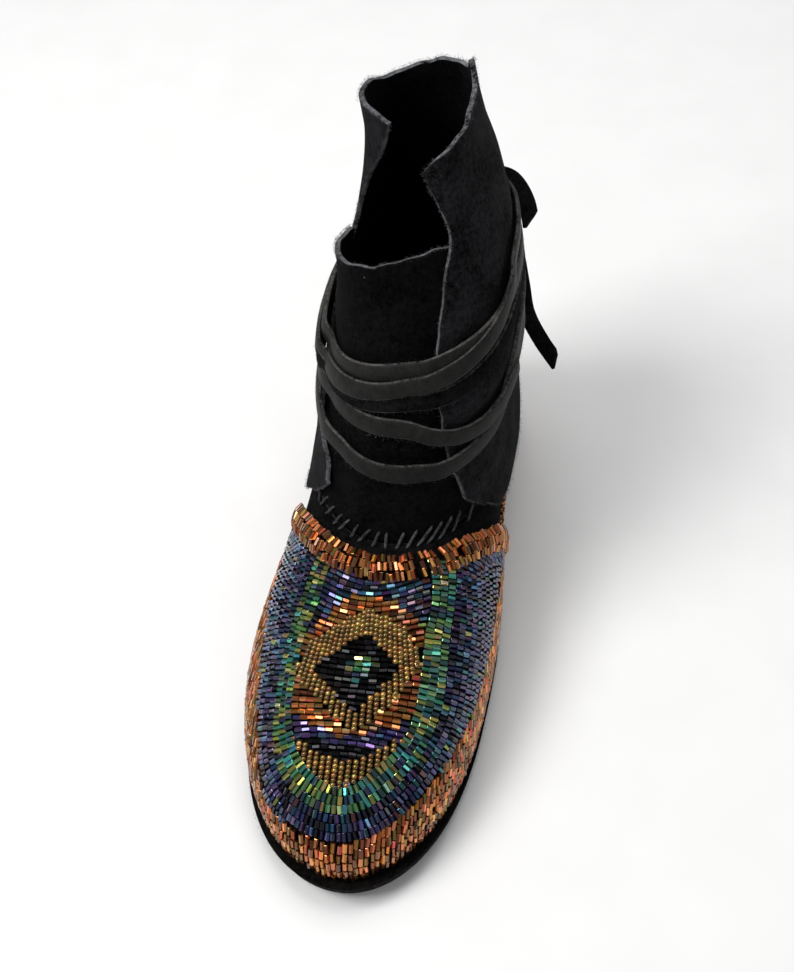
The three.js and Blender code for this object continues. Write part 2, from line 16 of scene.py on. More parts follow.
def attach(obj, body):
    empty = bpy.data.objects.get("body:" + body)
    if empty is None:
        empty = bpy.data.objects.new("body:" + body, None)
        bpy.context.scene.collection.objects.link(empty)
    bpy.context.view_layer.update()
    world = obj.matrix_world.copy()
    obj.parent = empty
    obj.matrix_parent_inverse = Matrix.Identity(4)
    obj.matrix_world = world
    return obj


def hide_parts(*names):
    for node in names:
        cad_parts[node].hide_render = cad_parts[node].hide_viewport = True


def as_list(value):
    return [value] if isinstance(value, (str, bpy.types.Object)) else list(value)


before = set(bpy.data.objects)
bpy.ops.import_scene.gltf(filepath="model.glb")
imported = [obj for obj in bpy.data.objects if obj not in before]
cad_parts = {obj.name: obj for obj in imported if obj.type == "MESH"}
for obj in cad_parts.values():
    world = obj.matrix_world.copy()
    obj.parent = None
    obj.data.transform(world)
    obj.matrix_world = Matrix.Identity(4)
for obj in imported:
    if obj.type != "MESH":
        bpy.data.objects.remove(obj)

Array = np.ndarray
Place = Callable[[Array, Array], Array]

LOG = logging.getLogger("ankle_boot")
BODY = "root"
MM = 0.001
MIDDLE_SHIFT = 2.2
SEED = 11
MM_PER_DEGREE = 0.58


def metres(points: Array) -> Array:
    """Points of the boot's own frame, in millimetres, as points of the shared frame in metres."""
    return (np.asarray(points, float) + np.array([MIDDLE_SHIFT, 0.0, 0.0])) * MM


def unit(vectors: Array) -> Array:
    """Vectors at length one."""
    return vectors / np.maximum(np.linalg.norm(vectors, axis=-1, keepdims=True), 1e-9)


def mix(a: Array | float, b: Array | float, share: Array | float) -> Array:
    """A straight blend from a to b."""
    return a + (b - a) * share


def smooth(x: Array) -> Array:
    """A soft step from 0 to 1."""
    held = np.clip(x, 0.0, 1.0)
    return held * held * (3.0 - 2.0 * held)


def linear(red: int, green: int, blue: int) -> tuple[float, float, float, float]:
    """A screen colour of 0 to 255 as linear light with full cover."""
    return tuple((c / 255.0) ** 2.2 for c in (red, green, blue)) + (1.0,)


def sample(want: Array, reach: Array, values: Array) -> Array:
    """Points or directions of a line, read at distances from its start.

    Args:
        want: The distances to read at.
        reach: Distance of each of the line's points.
        values: What each of the line's points has, one row each.

    Returns:
        One row for each distance wanted.
    """
    return np.stack([np.interp(want, reach, column) for column in values.T], axis=1)


class Table:
    """A cubic through the rows of a short table, without overshoot."""

    def __init__(self, rows: Sequence[Sequence[float]], column: int = 1, flat_ends: bool = False) -> None:
        """Reads one column of the table against its first.

        Args:
            rows: The table, with growing first values.
            column: Which column to follow.
            flat_ends: Whether the curve starts and ends level, for a mirrored table.
        """
        self.xs = np.array([row[0] for row in rows], float)
        self.ys = np.array([row[column] for row in rows], float)
        slopes = np.diff(self.ys) / np.diff(self.xs)
        before, after = slopes[:-1], slopes[1:]
        agree = before * after > 0
        inner = np.where(agree, 2 * before * after / np.where(agree, before + after, 1.0), 0.0)
        first, last = (0.0, 0.0) if flat_ends else (slopes[0], slopes[-1])
        self.tangents = np.concatenate([[first], inner, [last]])

    def __call__(self, x: Array | float) -> Array:
        """The curve's values, held at the ends."""
        x = np.clip(np.asarray(x, float), self.xs[0], self.xs[-1])
        i = np.clip(np.searchsorted(self.xs, x, side="right") - 1, 0, len(self.xs) - 2)
        span = self.xs[i + 1] - self.xs[i]
        s = (x - self.xs[i]) / span
        stay = (1 + 2 * s) * (1 - s) ** 2 * self.ys[i]
        leave = s * (1 - s) ** 2 * span * self.tangents[i]
        reach = s * s * (3 - 2 * s) * self.ys[i + 1]
        arrive = s * s * (s - 1) * span * self.tangents[i + 1]
        return stay + leave + reach + arrive


class Wobble:
    """A gentle repeatable waver along a line, such as a hand-cut edge has."""

    def __init__(self, seed: int, waves: Sequence[float]) -> None:
        """Draws the waver's phases.

        Args:
            seed: Seed of the phases.
            waves: How many waves each layer has over one unit of the line.
        """
        self.waves = np.array(waves, float)
        self.phases = np.random.default_rng(seed).uniform(0.0, 2 * np.pi, len(waves))

    def __call__(self, along: Array) -> Array:
        """The waver from about -1 to 1."""
        angle = 2 * np.pi * np.asarray(along, float)[..., None] * self.waves + self.phases
        return np.sin(angle).sum(axis=-1) / len(self.waves) ** 0.5


class BootForm:
    """The surfaces that every piece of the boot is cut from or laid on."""

    SOLE_LENGTH = 260.0
    SOLE_INSET_BELOW = 1.2
    TOE_SPRING, SPRING_LENGTH = 6.0, 64.0
    SOLE_THICK_BALL, SOLE_THICK_HEEL = 6.0, 9.0
    ARCH_START, ARCH_END, ARCH_RISE = 112.0, 192.0, 2.0
    TOE_ROUND, HEEL_ROUND = (95.0, 2.6), (36.0, 2.3)
    SEAT, LAYER_GAP, WALL_DRIFT = 0.3, 0.6, 10.0
    TURN_PROBE, HEIGHT_PROBE, LEVEL_PROBE = 1.5, 1.5, 0.004

    SOLE_WIDTHS = (
        (0, 47.5, 42), (70, 49.5, 42), (100, 47.5, 42.5), (160, 37.5, 36), (222, 34, 33.5), (260, 33, 33),
    )
    FAN = (
        (0, 0), (15, 0.15), (38, 0.33), (58, 0.45), (80, 0.56), (105, 0.68), (135, 0.82), (160, 0.93),
        (180, 1),
    )
    WALL = (
        (0, 5.5, 67, 4.5, 27, 58, 20), (15, 5, 67, 4.5, 27, 54, 21), (38, 3.2, 65, 5, 27, 34, 30),
        (58, 2.8, 60, 4.5, 25, 20, 50), (80, 2.8, 56, 4, 20, 16, 78), (120, 2.8, 57, 4, 18, 16, 86),
        (180, 3.2, 63, 4, 20, 20, 86),
    )
    ANKLE = (
        (40, 1, 40, -34, 121, 2.2), (66, 3, 35.5, -21, 117, 2.2), (95, 6, 33, -6, 114, 2.2),
        (125, 8.5, 30.5, 11, 110, 2.2), (158, 9, 25.5, 28, 106, 2.3), (175, 8.3, 21, 38, 103, 2.5),
        (200, 7.5, 17, 47, 100, 2.7),
    )

    def __init__(self) -> None:
        """Readies the tables."""
        self.width_outer = Table(self.SOLE_WIDTHS, 1)
        self.width_inner = Table(self.SOLE_WIDTHS, 2)
        self.share_at = Table(self.FAN)
        self.turn_at = Table([(share, turn) for turn, share in self.FAN])
        names = ("inset", "top", "lean", "rise", "reach", "pitch")
        self.wall = {name: Table(self.WALL, i + 1, True) for i, name in enumerate(names)}
        names = ("middle", "half_width", "front", "back", "square")
        self.section = {name: Table(self.ANKLE, i + 1) for i, name in enumerate(names)}

    @staticmethod
    def fold(turn: Array) -> Array:
        """Degrees from the front, whichever side."""
        place = np.mod(turn, 360.0)
        return np.minimum(place, 360.0 - place)

    @staticmethod
    def _rounded(distance: Array, end: tuple[float, float]) -> Array:
        """How far the sole's full width has opened at a distance from one of its ends."""
        short = np.clip(1.0 - distance / end[0], 0.0, 1.0)
        return np.sqrt(np.maximum(0.0, 1.0 - short ** end[1]))

    def outline(self, share: Array, side: Array) -> Array:
        """Edge of the sole in plan.

        Args:
            share: Share of the way from toe to heel.
            side: 1 for the inner side and -1 for the outer.

        Returns:
            Plan points.
        """
        from_toe = self.SOLE_LENGTH / 2 * (1 - np.cos(np.pi * share))
        width = np.where(side > 0, self.width_inner(from_toe), self.width_outer(from_toe))
        ends = self._rounded(from_toe, self.TOE_ROUND)
        ends = ends * self._rounded(self.SOLE_LENGTH - from_toe, self.HEEL_ROUND)
        return np.stack([side * width * ends, from_toe - self.SOLE_LENGTH / 2], axis=-1)

    def loop_point(self, position: Array) -> Array:
        """The outline as one loop: 0 at the toe, 1 at the heel, and back along the outer side to 2."""
        place = np.mod(position, 2.0)
        return self.outline(np.where(place <= 1, place, 2 - place), np.where(place <= 1, 1.0, -1.0))

    def loop_normal(self, position: Array) -> Array:
        """Plan direction out of the outline."""
        run = self.loop_point(position + 0.004) - self.loop_point(position - 0.004)
        return unit(np.stack([run[..., 1], -run[..., 0]], axis=-1))

    def inset_loop(self, position: Array, inset: Array | float) -> Array:
        """The outline drawn in by a distance."""
        return self.loop_point(position) - self.loop_normal(position) * np.asarray(inset)[..., None]

    def _spring(self, y: Array) -> Array:
        """Rise of the sole towards the toe tip."""
        from_toe = y + self.SOLE_LENGTH / 2
        return self.TOE_SPRING * np.maximum(0.0, 1 - from_toe / self.SPRING_LENGTH) ** 2

    def sole_bottom(self, y: Array) -> Array:
        """Height of the sole's lower face."""
        span = self.ARCH_END - self.ARCH_START
        in_arch = np.clip((y + self.SOLE_LENGTH / 2 - self.ARCH_START) / span, 0, 1)
        return self._spring(y) + self.ARCH_RISE * np.sin(np.pi * in_arch) ** 2

    def sole_top(self, y: Array) -> Array:
        """Height of the sole's upper face."""
        span = self.ARCH_END - self.ARCH_START
        to_heel = smooth((y + self.SOLE_LENGTH / 2 - self.ARCH_START) / span)
        return self._spring(y) + mix(self.SOLE_THICK_BALL, self.SOLE_THICK_HEEL, to_heel)

    def ankle(self, turn: Array, height: Array) -> Array:
        """Ankle surface.

        Args:
            turn: Degrees from the front, through the inner side.
            height: Height over the floor.

        Returns:
            Points on the surface.
        """
        angle = np.radians(turn)
        across, forward = np.sin(angle), np.cos(angle)
        power = self.section["square"](height)
        round_ = (np.abs(across) ** power + np.abs(forward) ** power) ** (-1 / power)
        front, back = self.section["front"](height), self.section["back"](height)
        x = self.section["middle"](height) + self.section["half_width"](height) * round_ * across
        y = (front + back) / 2 - (back - front) / 2 * round_ * forward
        return np.stack([x, y, np.broadcast_to(height, x.shape)], axis=-1)

    def column_turn(self, share: Array) -> Array:
        """Turn for a share of the way round the sole, evenly along its edge."""
        position = np.asarray(share) * 2
        there = self.turn_at(np.minimum(position, 1))
        back = 360 - self.turn_at(np.clip(2 - position, 0, 1))
        return np.where(position <= 1, there, back)

    def wall_controls(self, turn: Array) -> tuple[Array, Array, Array, Array]:
        """Four control points of the upper's wall at each turn, from the sole to the topline."""
        place = np.mod(turn, 360.0)
        fold = self.fold(turn)
        share = self.share_at(np.where(place <= 180, place, 360 - place))
        position = np.where(place <= 180, share, 2 - share)
        foot = self.inset_loop(position, self.wall["inset"](fold))
        out = self.loop_normal(position)
        base = np.concatenate([foot, (self.sole_top(foot[..., 1]) + self.SEAT)[..., None]], axis=-1)
        top = self.ankle(turn, self.wall["top"](fold))
        low = base.copy()
        low[..., :2] += out * self.wall["lean"](fold)[..., None]
        low[..., 2] += self.wall["rise"](fold)
        toward = unit(base[..., :2] - top[..., :2] + out * self.WALL_DRIFT)
        pitch = np.radians(self.wall["pitch"](fold))
        reach = self.wall["reach"](fold)
        high = top.copy()
        high[..., :2] += toward * (reach * np.cos(pitch))[..., None]
        high[..., 2] -= reach * np.sin(pitch)
        return base, low, high, top

    def upper_point(self, turn: Array, level: Array) -> Array:
        """Surface of the upper, from the sole at level 0 to the topline at level 1."""
        base, low, high, top = self.wall_controls(turn)
        t = np.asarray(level)[..., None]
        s = 1 - t
        return s ** 3 * base + 3 * s * s * t * low + 3 * s * t * t * high + t ** 3 * top

    def _climb(self, turn: Array, steps: int = 96) -> tuple[Array, Array]:
        """Levels up the wall and the distance from the sole at each, per turn."""
        levels = np.linspace(0, 1, steps + 1)
        points = self.upper_point(turn[..., None], np.broadcast_to(levels, turn.shape + levels.shape))
        runs = np.linalg.norm(np.diff(points, axis=-2), axis=-1)
        start = np.zeros(turn.shape + (1,))
        return levels, np.concatenate([start, np.cumsum(runs, axis=-1)], axis=-1)

    def level_above(self, turn: Array, distance: Array) -> Array:
        """Level at a distance up the wall from the sole."""
        turn, distance = np.broadcast_arrays(np.asarray(turn, float), distance)
        levels, climb = self._climb(turn)
        flat = [np.interp(d, row, levels) for d, row in zip(distance.ravel(), climb.reshape(-1, len(levels)))]
        return np.array(flat).reshape(turn.shape)

    def level_below(self, turn: Array, drop: Array) -> Array:
        """Level at a distance down the wall from the topline."""
        turn, drop = np.broadcast_arrays(np.asarray(turn, float), drop)
        _, climb = self._climb(turn)
        return self.level_above(turn, climb[..., -1] - drop)

    def leg_point(self, turn: Array, height: Array) -> Array:
        """The ankle above the topline, and the upper's wall below it."""
        turn, height = np.broadcast_arrays(np.asarray(turn, float), np.asarray(height, float))
        low, high = np.full(turn.shape, 0.3), np.ones(turn.shape)
        for _ in range(22):
            middle = (low + high) / 2
            below = self.upper_point(turn, middle)[..., 2] < height
            low, high = np.where(below, middle, low), np.where(below, high, middle)
        above = (height >= self.wall["top"](self.fold(turn)))[..., None]
        return np.where(above, self.ankle(turn, height), self.upper_point(turn, high))

    def _outward(self, surface: Callable, turn: Array, level: Array, step: float) -> Array:
        """Outward direction of a surface given by turn and a measure that grows upward."""
        round_ = surface(turn + self.TURN_PROBE, level) - surface(turn - self.TURN_PROBE, level)
        rise = surface(turn, level + step) - surface(turn, level - step)
        return unit(np.cross(round_, rise))

    def upper_out(self, turn: Array, level: Array) -> Array:
        """Outward direction of the upper."""
        held = np.clip(level, self.LEVEL_PROBE, 1 - self.LEVEL_PROBE)
        return self._outward(self.upper_point, turn, held, self.LEVEL_PROBE)

    def upper_at(self, turn: Array, level: Array, offset: Array | float) -> Array:
        """A layer at an offset from the upper."""
        out = self.upper_out(turn, level)
        return self.upper_point(turn, level) + out * np.asarray(offset)[..., None]

    def leg_out(self, turn: Array, height: Array) -> Array:
        """Outward direction of the leg."""
        return self._outward(self.leg_point, turn, height, self.HEIGHT_PROBE)

    def leg_at(self, turn: Array, height: Array, offset: Array | float) -> Array:
        """A layer at an offset from the leg."""
        return self.leg_point(turn, height) + self.leg_out(turn, height) * np.asarray(offset)[..., None]

    def ankle_at(self, turn: Array, height: Array, offset: Array | float) -> Array:
        """A layer at an offset from the ankle."""
        out = self._outward(self.ankle, turn, height, self.HEIGHT_PROBE)
        return self.ankle(turn, height) + out * np.asarray(offset)[..., None]

    def vamp_spot(self, plan: Array) -> tuple[Array, Array]:
        """Finds plan points on the vamp.

        Args:
            plan: Plan points, shape (n, 2).

        Returns:
            Turn and level of each.
        """
        turns, levels = np.meshgrid(np.arange(-74.0, 75.0, 2.0), np.linspace(0.06, 1, 48), indexing="ij")
        turns, levels = turns.ravel(), levels.ravel()
        known = self.upper_point(turns, levels)[:, :2]
        near = np.array([np.argmin(((known - p) ** 2).sum(axis=1)) for p in plan])
        turn, level = turns[near], levels[near]
        for _ in range(5):
            here = self.upper_point(turn, level)[:, :2]
            by_turn = (self.upper_point(turn + 0.5, level)[:, :2] - here) / 0.5
            by_level = (self.upper_point(turn, level + 0.002)[:, :2] - here) / 0.002
            miss = plan - here
            area = by_turn[:, 0] * by_level[:, 1] - by_turn[:, 1] * by_level[:, 0]
            area = np.where(np.abs(area) < 1e-6, 1e-6, area)
            round_ = (miss[:, 0] * by_level[:, 1] - miss[:, 1] * by_level[:, 0]) / area
            rise = (by_turn[:, 0] * miss[:, 1] - by_turn[:, 1] * miss[:, 0]) / area
            turn = turn + np.clip(round_, -4, 4)
            level = np.clip(level + np.clip(rise, -0.1, 0.1), 0.02, 1.0)
        return turn, level


FORM = BootForm()


@dataclass(frozen=True)
class Crease:
    """A soft trough along a line on the leg, or a ridge where its depth is negative."""

    turns: tuple[float, float]
    heights: tuple[float, float]
    width: float
    depth: float

    def at(self, turn: Array, height: Array) -> Array:
        """How far the leather is pushed in at each place."""
        start = np.array([self.turns[0] * MM_PER_DEGREE, self.heights[0]])
        run = np.array([self.turns[1] * MM_PER_DEGREE, self.heights[1]]) - start
        signed = np.mod(turn - self.turns[0] + 180.0, 360.0) - 180.0 + self.turns[0]
        spot = np.stack([signed * MM_PER_DEGREE, np.broadcast_to(height, np.shape(turn))], axis=-1) - start
        share = np.clip((spot @ run) / (run @ run), 0, 1)
        far = np.linalg.norm(spot - share[..., None] * run, axis=-1)
        return self.depth * np.exp(-((far / self.width) ** 2))


def deselect() -> None:
    """Leaves nothing selected."""
    if bpy.context.object and bpy.context.object.mode != "OBJECT":
        bpy.ops.object.mode_set(mode="OBJECT")
    bpy.ops.object.select_all(action="DESELECT")


def activate(piece: bpy.types.Object) -> None:
    """Makes one piece the only one selected, and the active one."""
    deselect()
    piece.select_set(True)
    bpy.context.view_layer.objects.active = piece


def apply_modifier(piece: bpy.types.Object, kind: str, **settings: object) -> None:
    """Adds a modifier, sets it and applies it."""
    activate(piece)
    modifier = piece.modifiers.new(kind.lower(), kind)
    for key, value in settings.items():
        setattr(modifier, key, value)
    bpy.ops.object.modifier_apply(modifier=modifier.name)


def smooth_by_angle(piece: bpy.types.Object, degrees: float = 40.0) -> None:
    """Smooth shading, with edges over an angle left sharp."""
    activate(piece)
    bpy.ops.object.shade_smooth_by_angle(angle=np.radians(degrees))


def turn_faces_out(piece: bpy.types.Object) -> None:
    """Makes a closed piece's faces point outwards."""
    activate(piece)
    bpy.ops.object.mode_set(mode="EDIT")
    bpy.ops.mesh.select_all(action="SELECT")
    bpy.ops.mesh.normals_make_consistent(inside=False)
    bpy.ops.object.mode_set(mode="OBJECT")


def join(pieces: Sequence[bpy.types.Object], name: str) -> bpy.types.Object:
    """Joins pieces into the first one and names it."""
    activate(pieces[0])
    for piece in pieces[1:]:
        piece.select_set(True)
    bpy.ops.object.join()
    pieces[0].name = name
    pieces[0].data.name = name
    return pieces[0]


def grid_sheet(name: str, columns: int, rows: int, place: Place, closed: bool = False) -> bpy.types.Object:
    """A sheet without thickness: a grid whose points are carried to a surface.

    Args:
        name: Name of the piece.
        columns: Cells across.
        rows: Cells up.
        place: Gives millimetre points for shares across and up.
        closed: Whether the last column meets the first.

    Returns:
        The sheet, with its faces pointing out of the boot.
    """
    deselect()
    bpy.ops.mesh.primitive_grid_add(x_subdivisions=columns, y_subdivisions=rows, size=2)
    sheet = bpy.context.object
    sheet.name = sheet.data.name = name
    flat = np.empty(len(sheet.data.vertices) * 3)
    sheet.data.vertices.foreach_get("co", flat)
    shares = (flat.reshape(-1, 3)[:, :2] + 1) / 2
    sheet.data.vertices.foreach_set("co", metres(place(shares[:, 0], shares[:, 1])).ravel())
    sheet.data.update()
    if closed:
        activate(sheet)
        bpy.ops.object.mode_set(mode="EDIT")
        bpy.ops.mesh.select_all(action="SELECT")
        bpy.ops.mesh.remove_doubles(threshold=1e-6)
        bpy.ops.object.mode_set(mode="OBJECT")
    return sheet


def thicken(sheet: bpy.types.Object, wall: float, bevel: float) -> None:
    """Gives a sheet its wall, inward, with a rounded cut edge.

    The cut edge takes the sheet's second material and the inside its third.

    Args:
        sheet: The sheet.
        wall: Thickness in millimetres.
        bevel: Rounding of the cut edge in millimetres.
    """
    apply_modifier(
        sheet, "SOLIDIFY", thickness=wall * MM, offset=-1.0, use_even_offset=False, use_rim=True,
        material_offset_rim=1, material_offset=2,
    )
    apply_modifier(
        sheet, "BEVEL", width=bevel * MM, segments=2, limit_method="ANGLE", angle_limit=np.radians(55),
        loop_slide=False,
    )


def mesh_piece(name: str, points: Array, faces: Sequence[Array]) -> bpy.types.Object:
    """A piece from point and face arrays.

    Args:
        name: Name of the piece.
        points: Millimetre points.
        faces: Index arrays, each of shape (faces, corners).

    Returns:
        The piece, at the origin.
    """
    mesh = bpy.data.meshes.new(name)
    totals = np.concatenate([np.full(len(part), part.shape[1]) for part in faces])
    corners = np.concatenate([part.ravel() for part in faces])
    mesh.vertices.add(len(points))
    mesh.vertices.foreach_set("co", metres(points).ravel())
    mesh.loops.add(len(corners))
    mesh.loops.foreach_set("vertex_index", corners.astype(np.int32))
    mesh.polygons.add(len(totals))
    mesh.polygons.foreach_set("loop_start", (np.cumsum(totals) - totals).astype(np.int32))
    mesh.update(calc_edges=True)
    mesh.validate()
    piece = bpy.data.objects.new(name, mesh)
    bpy.context.scene.collection.objects.link(piece)
    return piece


def settle(piece: bpy.types.Object, slot: str, *nodes: str) -> None:
    """Hands a finished piece over: what it rides on and what it stands for."""
    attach(piece, BODY)
    if nodes:
        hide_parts(*nodes)
    count = sum(len(face.vertices) - 2 for face in piece.data.polygons)
    LOG.info("%s: %d triangles", piece.name, count)


class NodeTree:
    """Short hand for filling one node tree."""

    def __init__(self, tree: bpy.types.NodeTree) -> None:
        """Takes the tree to fill."""
        self.tree = tree

    def add(self, kind: str, **settings: object) -> bpy.types.Node:
        """A new node with its settings."""
        node = self.tree.nodes.new(kind)
        for key, value in settings.items():
            setattr(node, key, value)
        return node

    def link(self, source: bpy.types.NodeSocket, target: bpy.types.NodeSocket) -> None:
        """Joins two sockets."""
        self.tree.links.new(source, target)

    def math(self, operation: str, a: object, b: object) -> bpy.types.NodeSocket:
        """A math node on two sockets or numbers."""
        node = self.add("ShaderNodeMath", operation=operation)
        for socket, value in zip(node.inputs, (a, b)):
            if isinstance(value, bpy.types.NodeSocket):
                self.link(value, socket)
            else:
                socket.default_value = value
        return node.outputs[0]

    def blend(self, share: bpy.types.NodeSocket, a: object, b: object) -> bpy.types.NodeSocket:
        """A blend of two colours."""
        node = self.add("ShaderNodeMix", data_type="RGBA")
        self.link(share, node.inputs["Factor"])
        for socket, value in zip((node.inputs[6], node.inputs[7]), (a, b)):
            if isinstance(value, bpy.types.NodeSocket):
                self.link(value, socket)
            else:
                socket.default_value = value
        return node.outputs[2]


class SharedEffects:
    """Shader groups that several finishes use."""

    def __init__(self) -> None:
        """Builds each group once."""
        self.nap = self._nap()
        self.lint = self._lint()

    @staticmethod
    def _group(name: str, inputs: Sequence[tuple[str, str]], outputs: Sequence[str]) -> tuple:
        """An empty group with its sockets.

        Args:
            name: The group's name.
            inputs: Names and socket types of its inputs.
            outputs: Names of its outputs, all plain values.

        Returns:
            The group, its node writer and its input and output nodes.
        """
        group = bpy.data.node_groups.new(name, "ShaderNodeTree")
        for label, kind in inputs:
            group.interface.new_socket(name=label, in_out="INPUT", socket_type=kind)
        for label in outputs:
            group.interface.new_socket(name=label, in_out="OUTPUT", socket_type="NodeSocketFloat")
        nodes = NodeTree(group)
        return group, nodes, nodes.add("NodeGroupInput"), nodes.add("NodeGroupOutput")

    def _nap(self) -> bpy.types.NodeTree:
        """Brushed fibres: a mottled tone and a fine height."""
        sockets = (("Vector", "NodeSocketVector"), ("Scale", "NodeSocketFloat"))
        group, nodes, start, end = self._group("leather_nap", sockets, ("Tone", "Height"))
        tone, height = 0.0, 0.0
        for share, tone_part, height_part in ((0.05, 0.34, 0.3), (0.38, 0.4, 1.0), (1.0, 0.26, 0.7)):
            noise = nodes.add("ShaderNodeTexNoise")
            noise.inputs["Detail"].default_value = 3.0
            noise.inputs["Roughness"].default_value = 0.65
            nodes.link(start.outputs["Vector"], noise.inputs["Vector"])
            nodes.link(nodes.math("MULTIPLY", start.outputs["Scale"], share), noise.inputs["Scale"])
            tone = nodes.math("ADD", nodes.math("MULTIPLY", noise.outputs["Fac"], tone_part), tone)
            height = nodes.math("ADD", nodes.math("MULTIPLY", noise.outputs["Fac"], height_part), height)
        spread = nodes.add("ShaderNodeMapRange")
        spread.inputs["From Min"].default_value = 0.40
        spread.inputs["From Max"].default_value = 0.61
        nodes.link(tone, spread.inputs["Value"])
        nodes.link(spread.outputs["Result"], end.inputs["Tone"])
        nodes.link(height, end.inputs["Height"])
        return group

    def _lint(self) -> bpy.types.NodeTree:
        """Sparse pale specks caught in the nap."""
        sockets = (("Vector", "NodeSocketVector"), ("Amount", "NodeSocketFloat"))
        group, nodes, start, end = self._group("lint_specks", sockets, ("Speck",))
        cells = nodes.add("ShaderNodeTexVoronoi")
        cells.inputs["Scale"].default_value = 420.0
        nodes.link(start.outputs["Vector"], cells.inputs["Vector"])
        parts = nodes.add("ShaderNodeSeparateColor")
        nodes.link(cells.outputs["Color"], parts.inputs["Color"])
        chosen = nodes.math("LESS_THAN", parts.outputs["Red"], start.outputs["Amount"])
        close = nodes.math("LESS_THAN", cells.outputs["Distance"], 0.16)
        nodes.link(nodes.math("MULTIPLY", chosen, close), end.inputs["Speck"])
        return group


EFFECTS = SharedEffects()


def shader(name: str) -> tuple[bpy.types.Material, NodeTree, bpy.types.Node]:
    """A new material with its writer and its main shader."""
    material = bpy.data.materials.new(name)
    material.use_nodes = True
    nodes = NodeTree(material.node_tree)
    return material, nodes, material.node_tree.nodes["Principled BSDF"]


@dataclass(frozen=True)
class LeatherFinish:
    """Napped or grained leather."""

    NAP_RELIEF = 0.0006
    LINT_COLOUR = linear(74, 73, 72)
    SHEEN_TINT = (0.55, 0.56, 0.6, 1.0)

    name: str
    dark: tuple[float, float, float, float]
    light: tuple[float, float, float, float]
    nap_scale: float = 1800.0
    nap_depth: float = 0.5
    roughness: float = 0.95
    sheen: float = 0.0
    lint: float = 0.0

    def material(self) -> bpy.types.Material:
        """Builds the finish."""
        material, nodes, main = shader(self.name)
        place = nodes.add("ShaderNodeTexCoord").outputs["Object"]
        nap = nodes.add("ShaderNodeGroup", node_tree=EFFECTS.nap)
        nap.inputs["Scale"].default_value = self.nap_scale
        nodes.link(place, nap.inputs["Vector"])
        colour = nodes.blend(nap.outputs["Tone"], self.dark, self.light)
        if self.lint:
            lint = nodes.add("ShaderNodeGroup", node_tree=EFFECTS.lint)
            lint.inputs["Amount"].default_value = self.lint
            nodes.link(place, lint.inputs["Vector"])
            colour = nodes.blend(lint.outputs["Speck"], colour, self.LINT_COLOUR)
        nodes.link(colour, main.inputs["Base Color"])
        bump = nodes.add("ShaderNodeBump")
        bump.inputs["Strength"].default_value = self.nap_depth
        bump.inputs["Distance"].default_value = self.NAP_RELIEF
        nodes.link(nap.outputs["Height"], bump.inputs["Height"])
        nodes.link(bump.outputs["Normal"], main.inputs["Normal"])
        main.inputs["Roughness"].default_value = self.roughness
        main.inputs["Specular IOR Level"].default_value = 0.04 if self.roughness > 0.9 else 0.2
        main.inputs["Sheen Weight"].default_value = self.sheen
        main.inputs["Sheen Roughness"].default_value = 0.5
        main.inputs["Sheen Tint"].default_value = self.SHEEN_TINT
        return material


@dataclass(frozen=True)
class BeadFinish:
    """Cut glass with a baked metal lustre, coloured bead by bead."""

    CLOUD_SCALE = 700.0
    ROUGH_SPAN = 0.22
    COAT = 0.6

    name: str
    metallic: float
    roughness: float

    def material(self) -> bpy.types.Material:
        """Builds the finish, which reads the beads' own colours."""
        material, nodes, main = shader(self.name)
        colour = nodes.add("ShaderNodeAttribute", attribute_name=BeadWork.COLOUR)
        nodes.link(colour.outputs["Color"], main.inputs["Base Color"])
        place = nodes.add("ShaderNodeTexCoord").outputs["Object"]
        cloud = nodes.add("ShaderNodeTexNoise")
        cloud.inputs["Scale"].default_value = self.CLOUD_SCALE
        nodes.link(place, cloud.inputs["Vector"])
        rough = nodes.math("MULTIPLY_ADD", cloud.outputs["Fac"], self.ROUGH_SPAN)
        rough.node.inputs[2].default_value = self.roughness - self.ROUGH_SPAN / 2
        nodes.link(rough, main.inputs["Roughness"])
        main.inputs["Metallic"].default_value = self.metallic
        coat = nodes.math("MULTIPLY", colour.outputs["Alpha"], self.COAT)
        nodes.link(coat, main.inputs["Coat Weight"])
        main.inputs["Coat Roughness"].default_value = 0.05
        return material


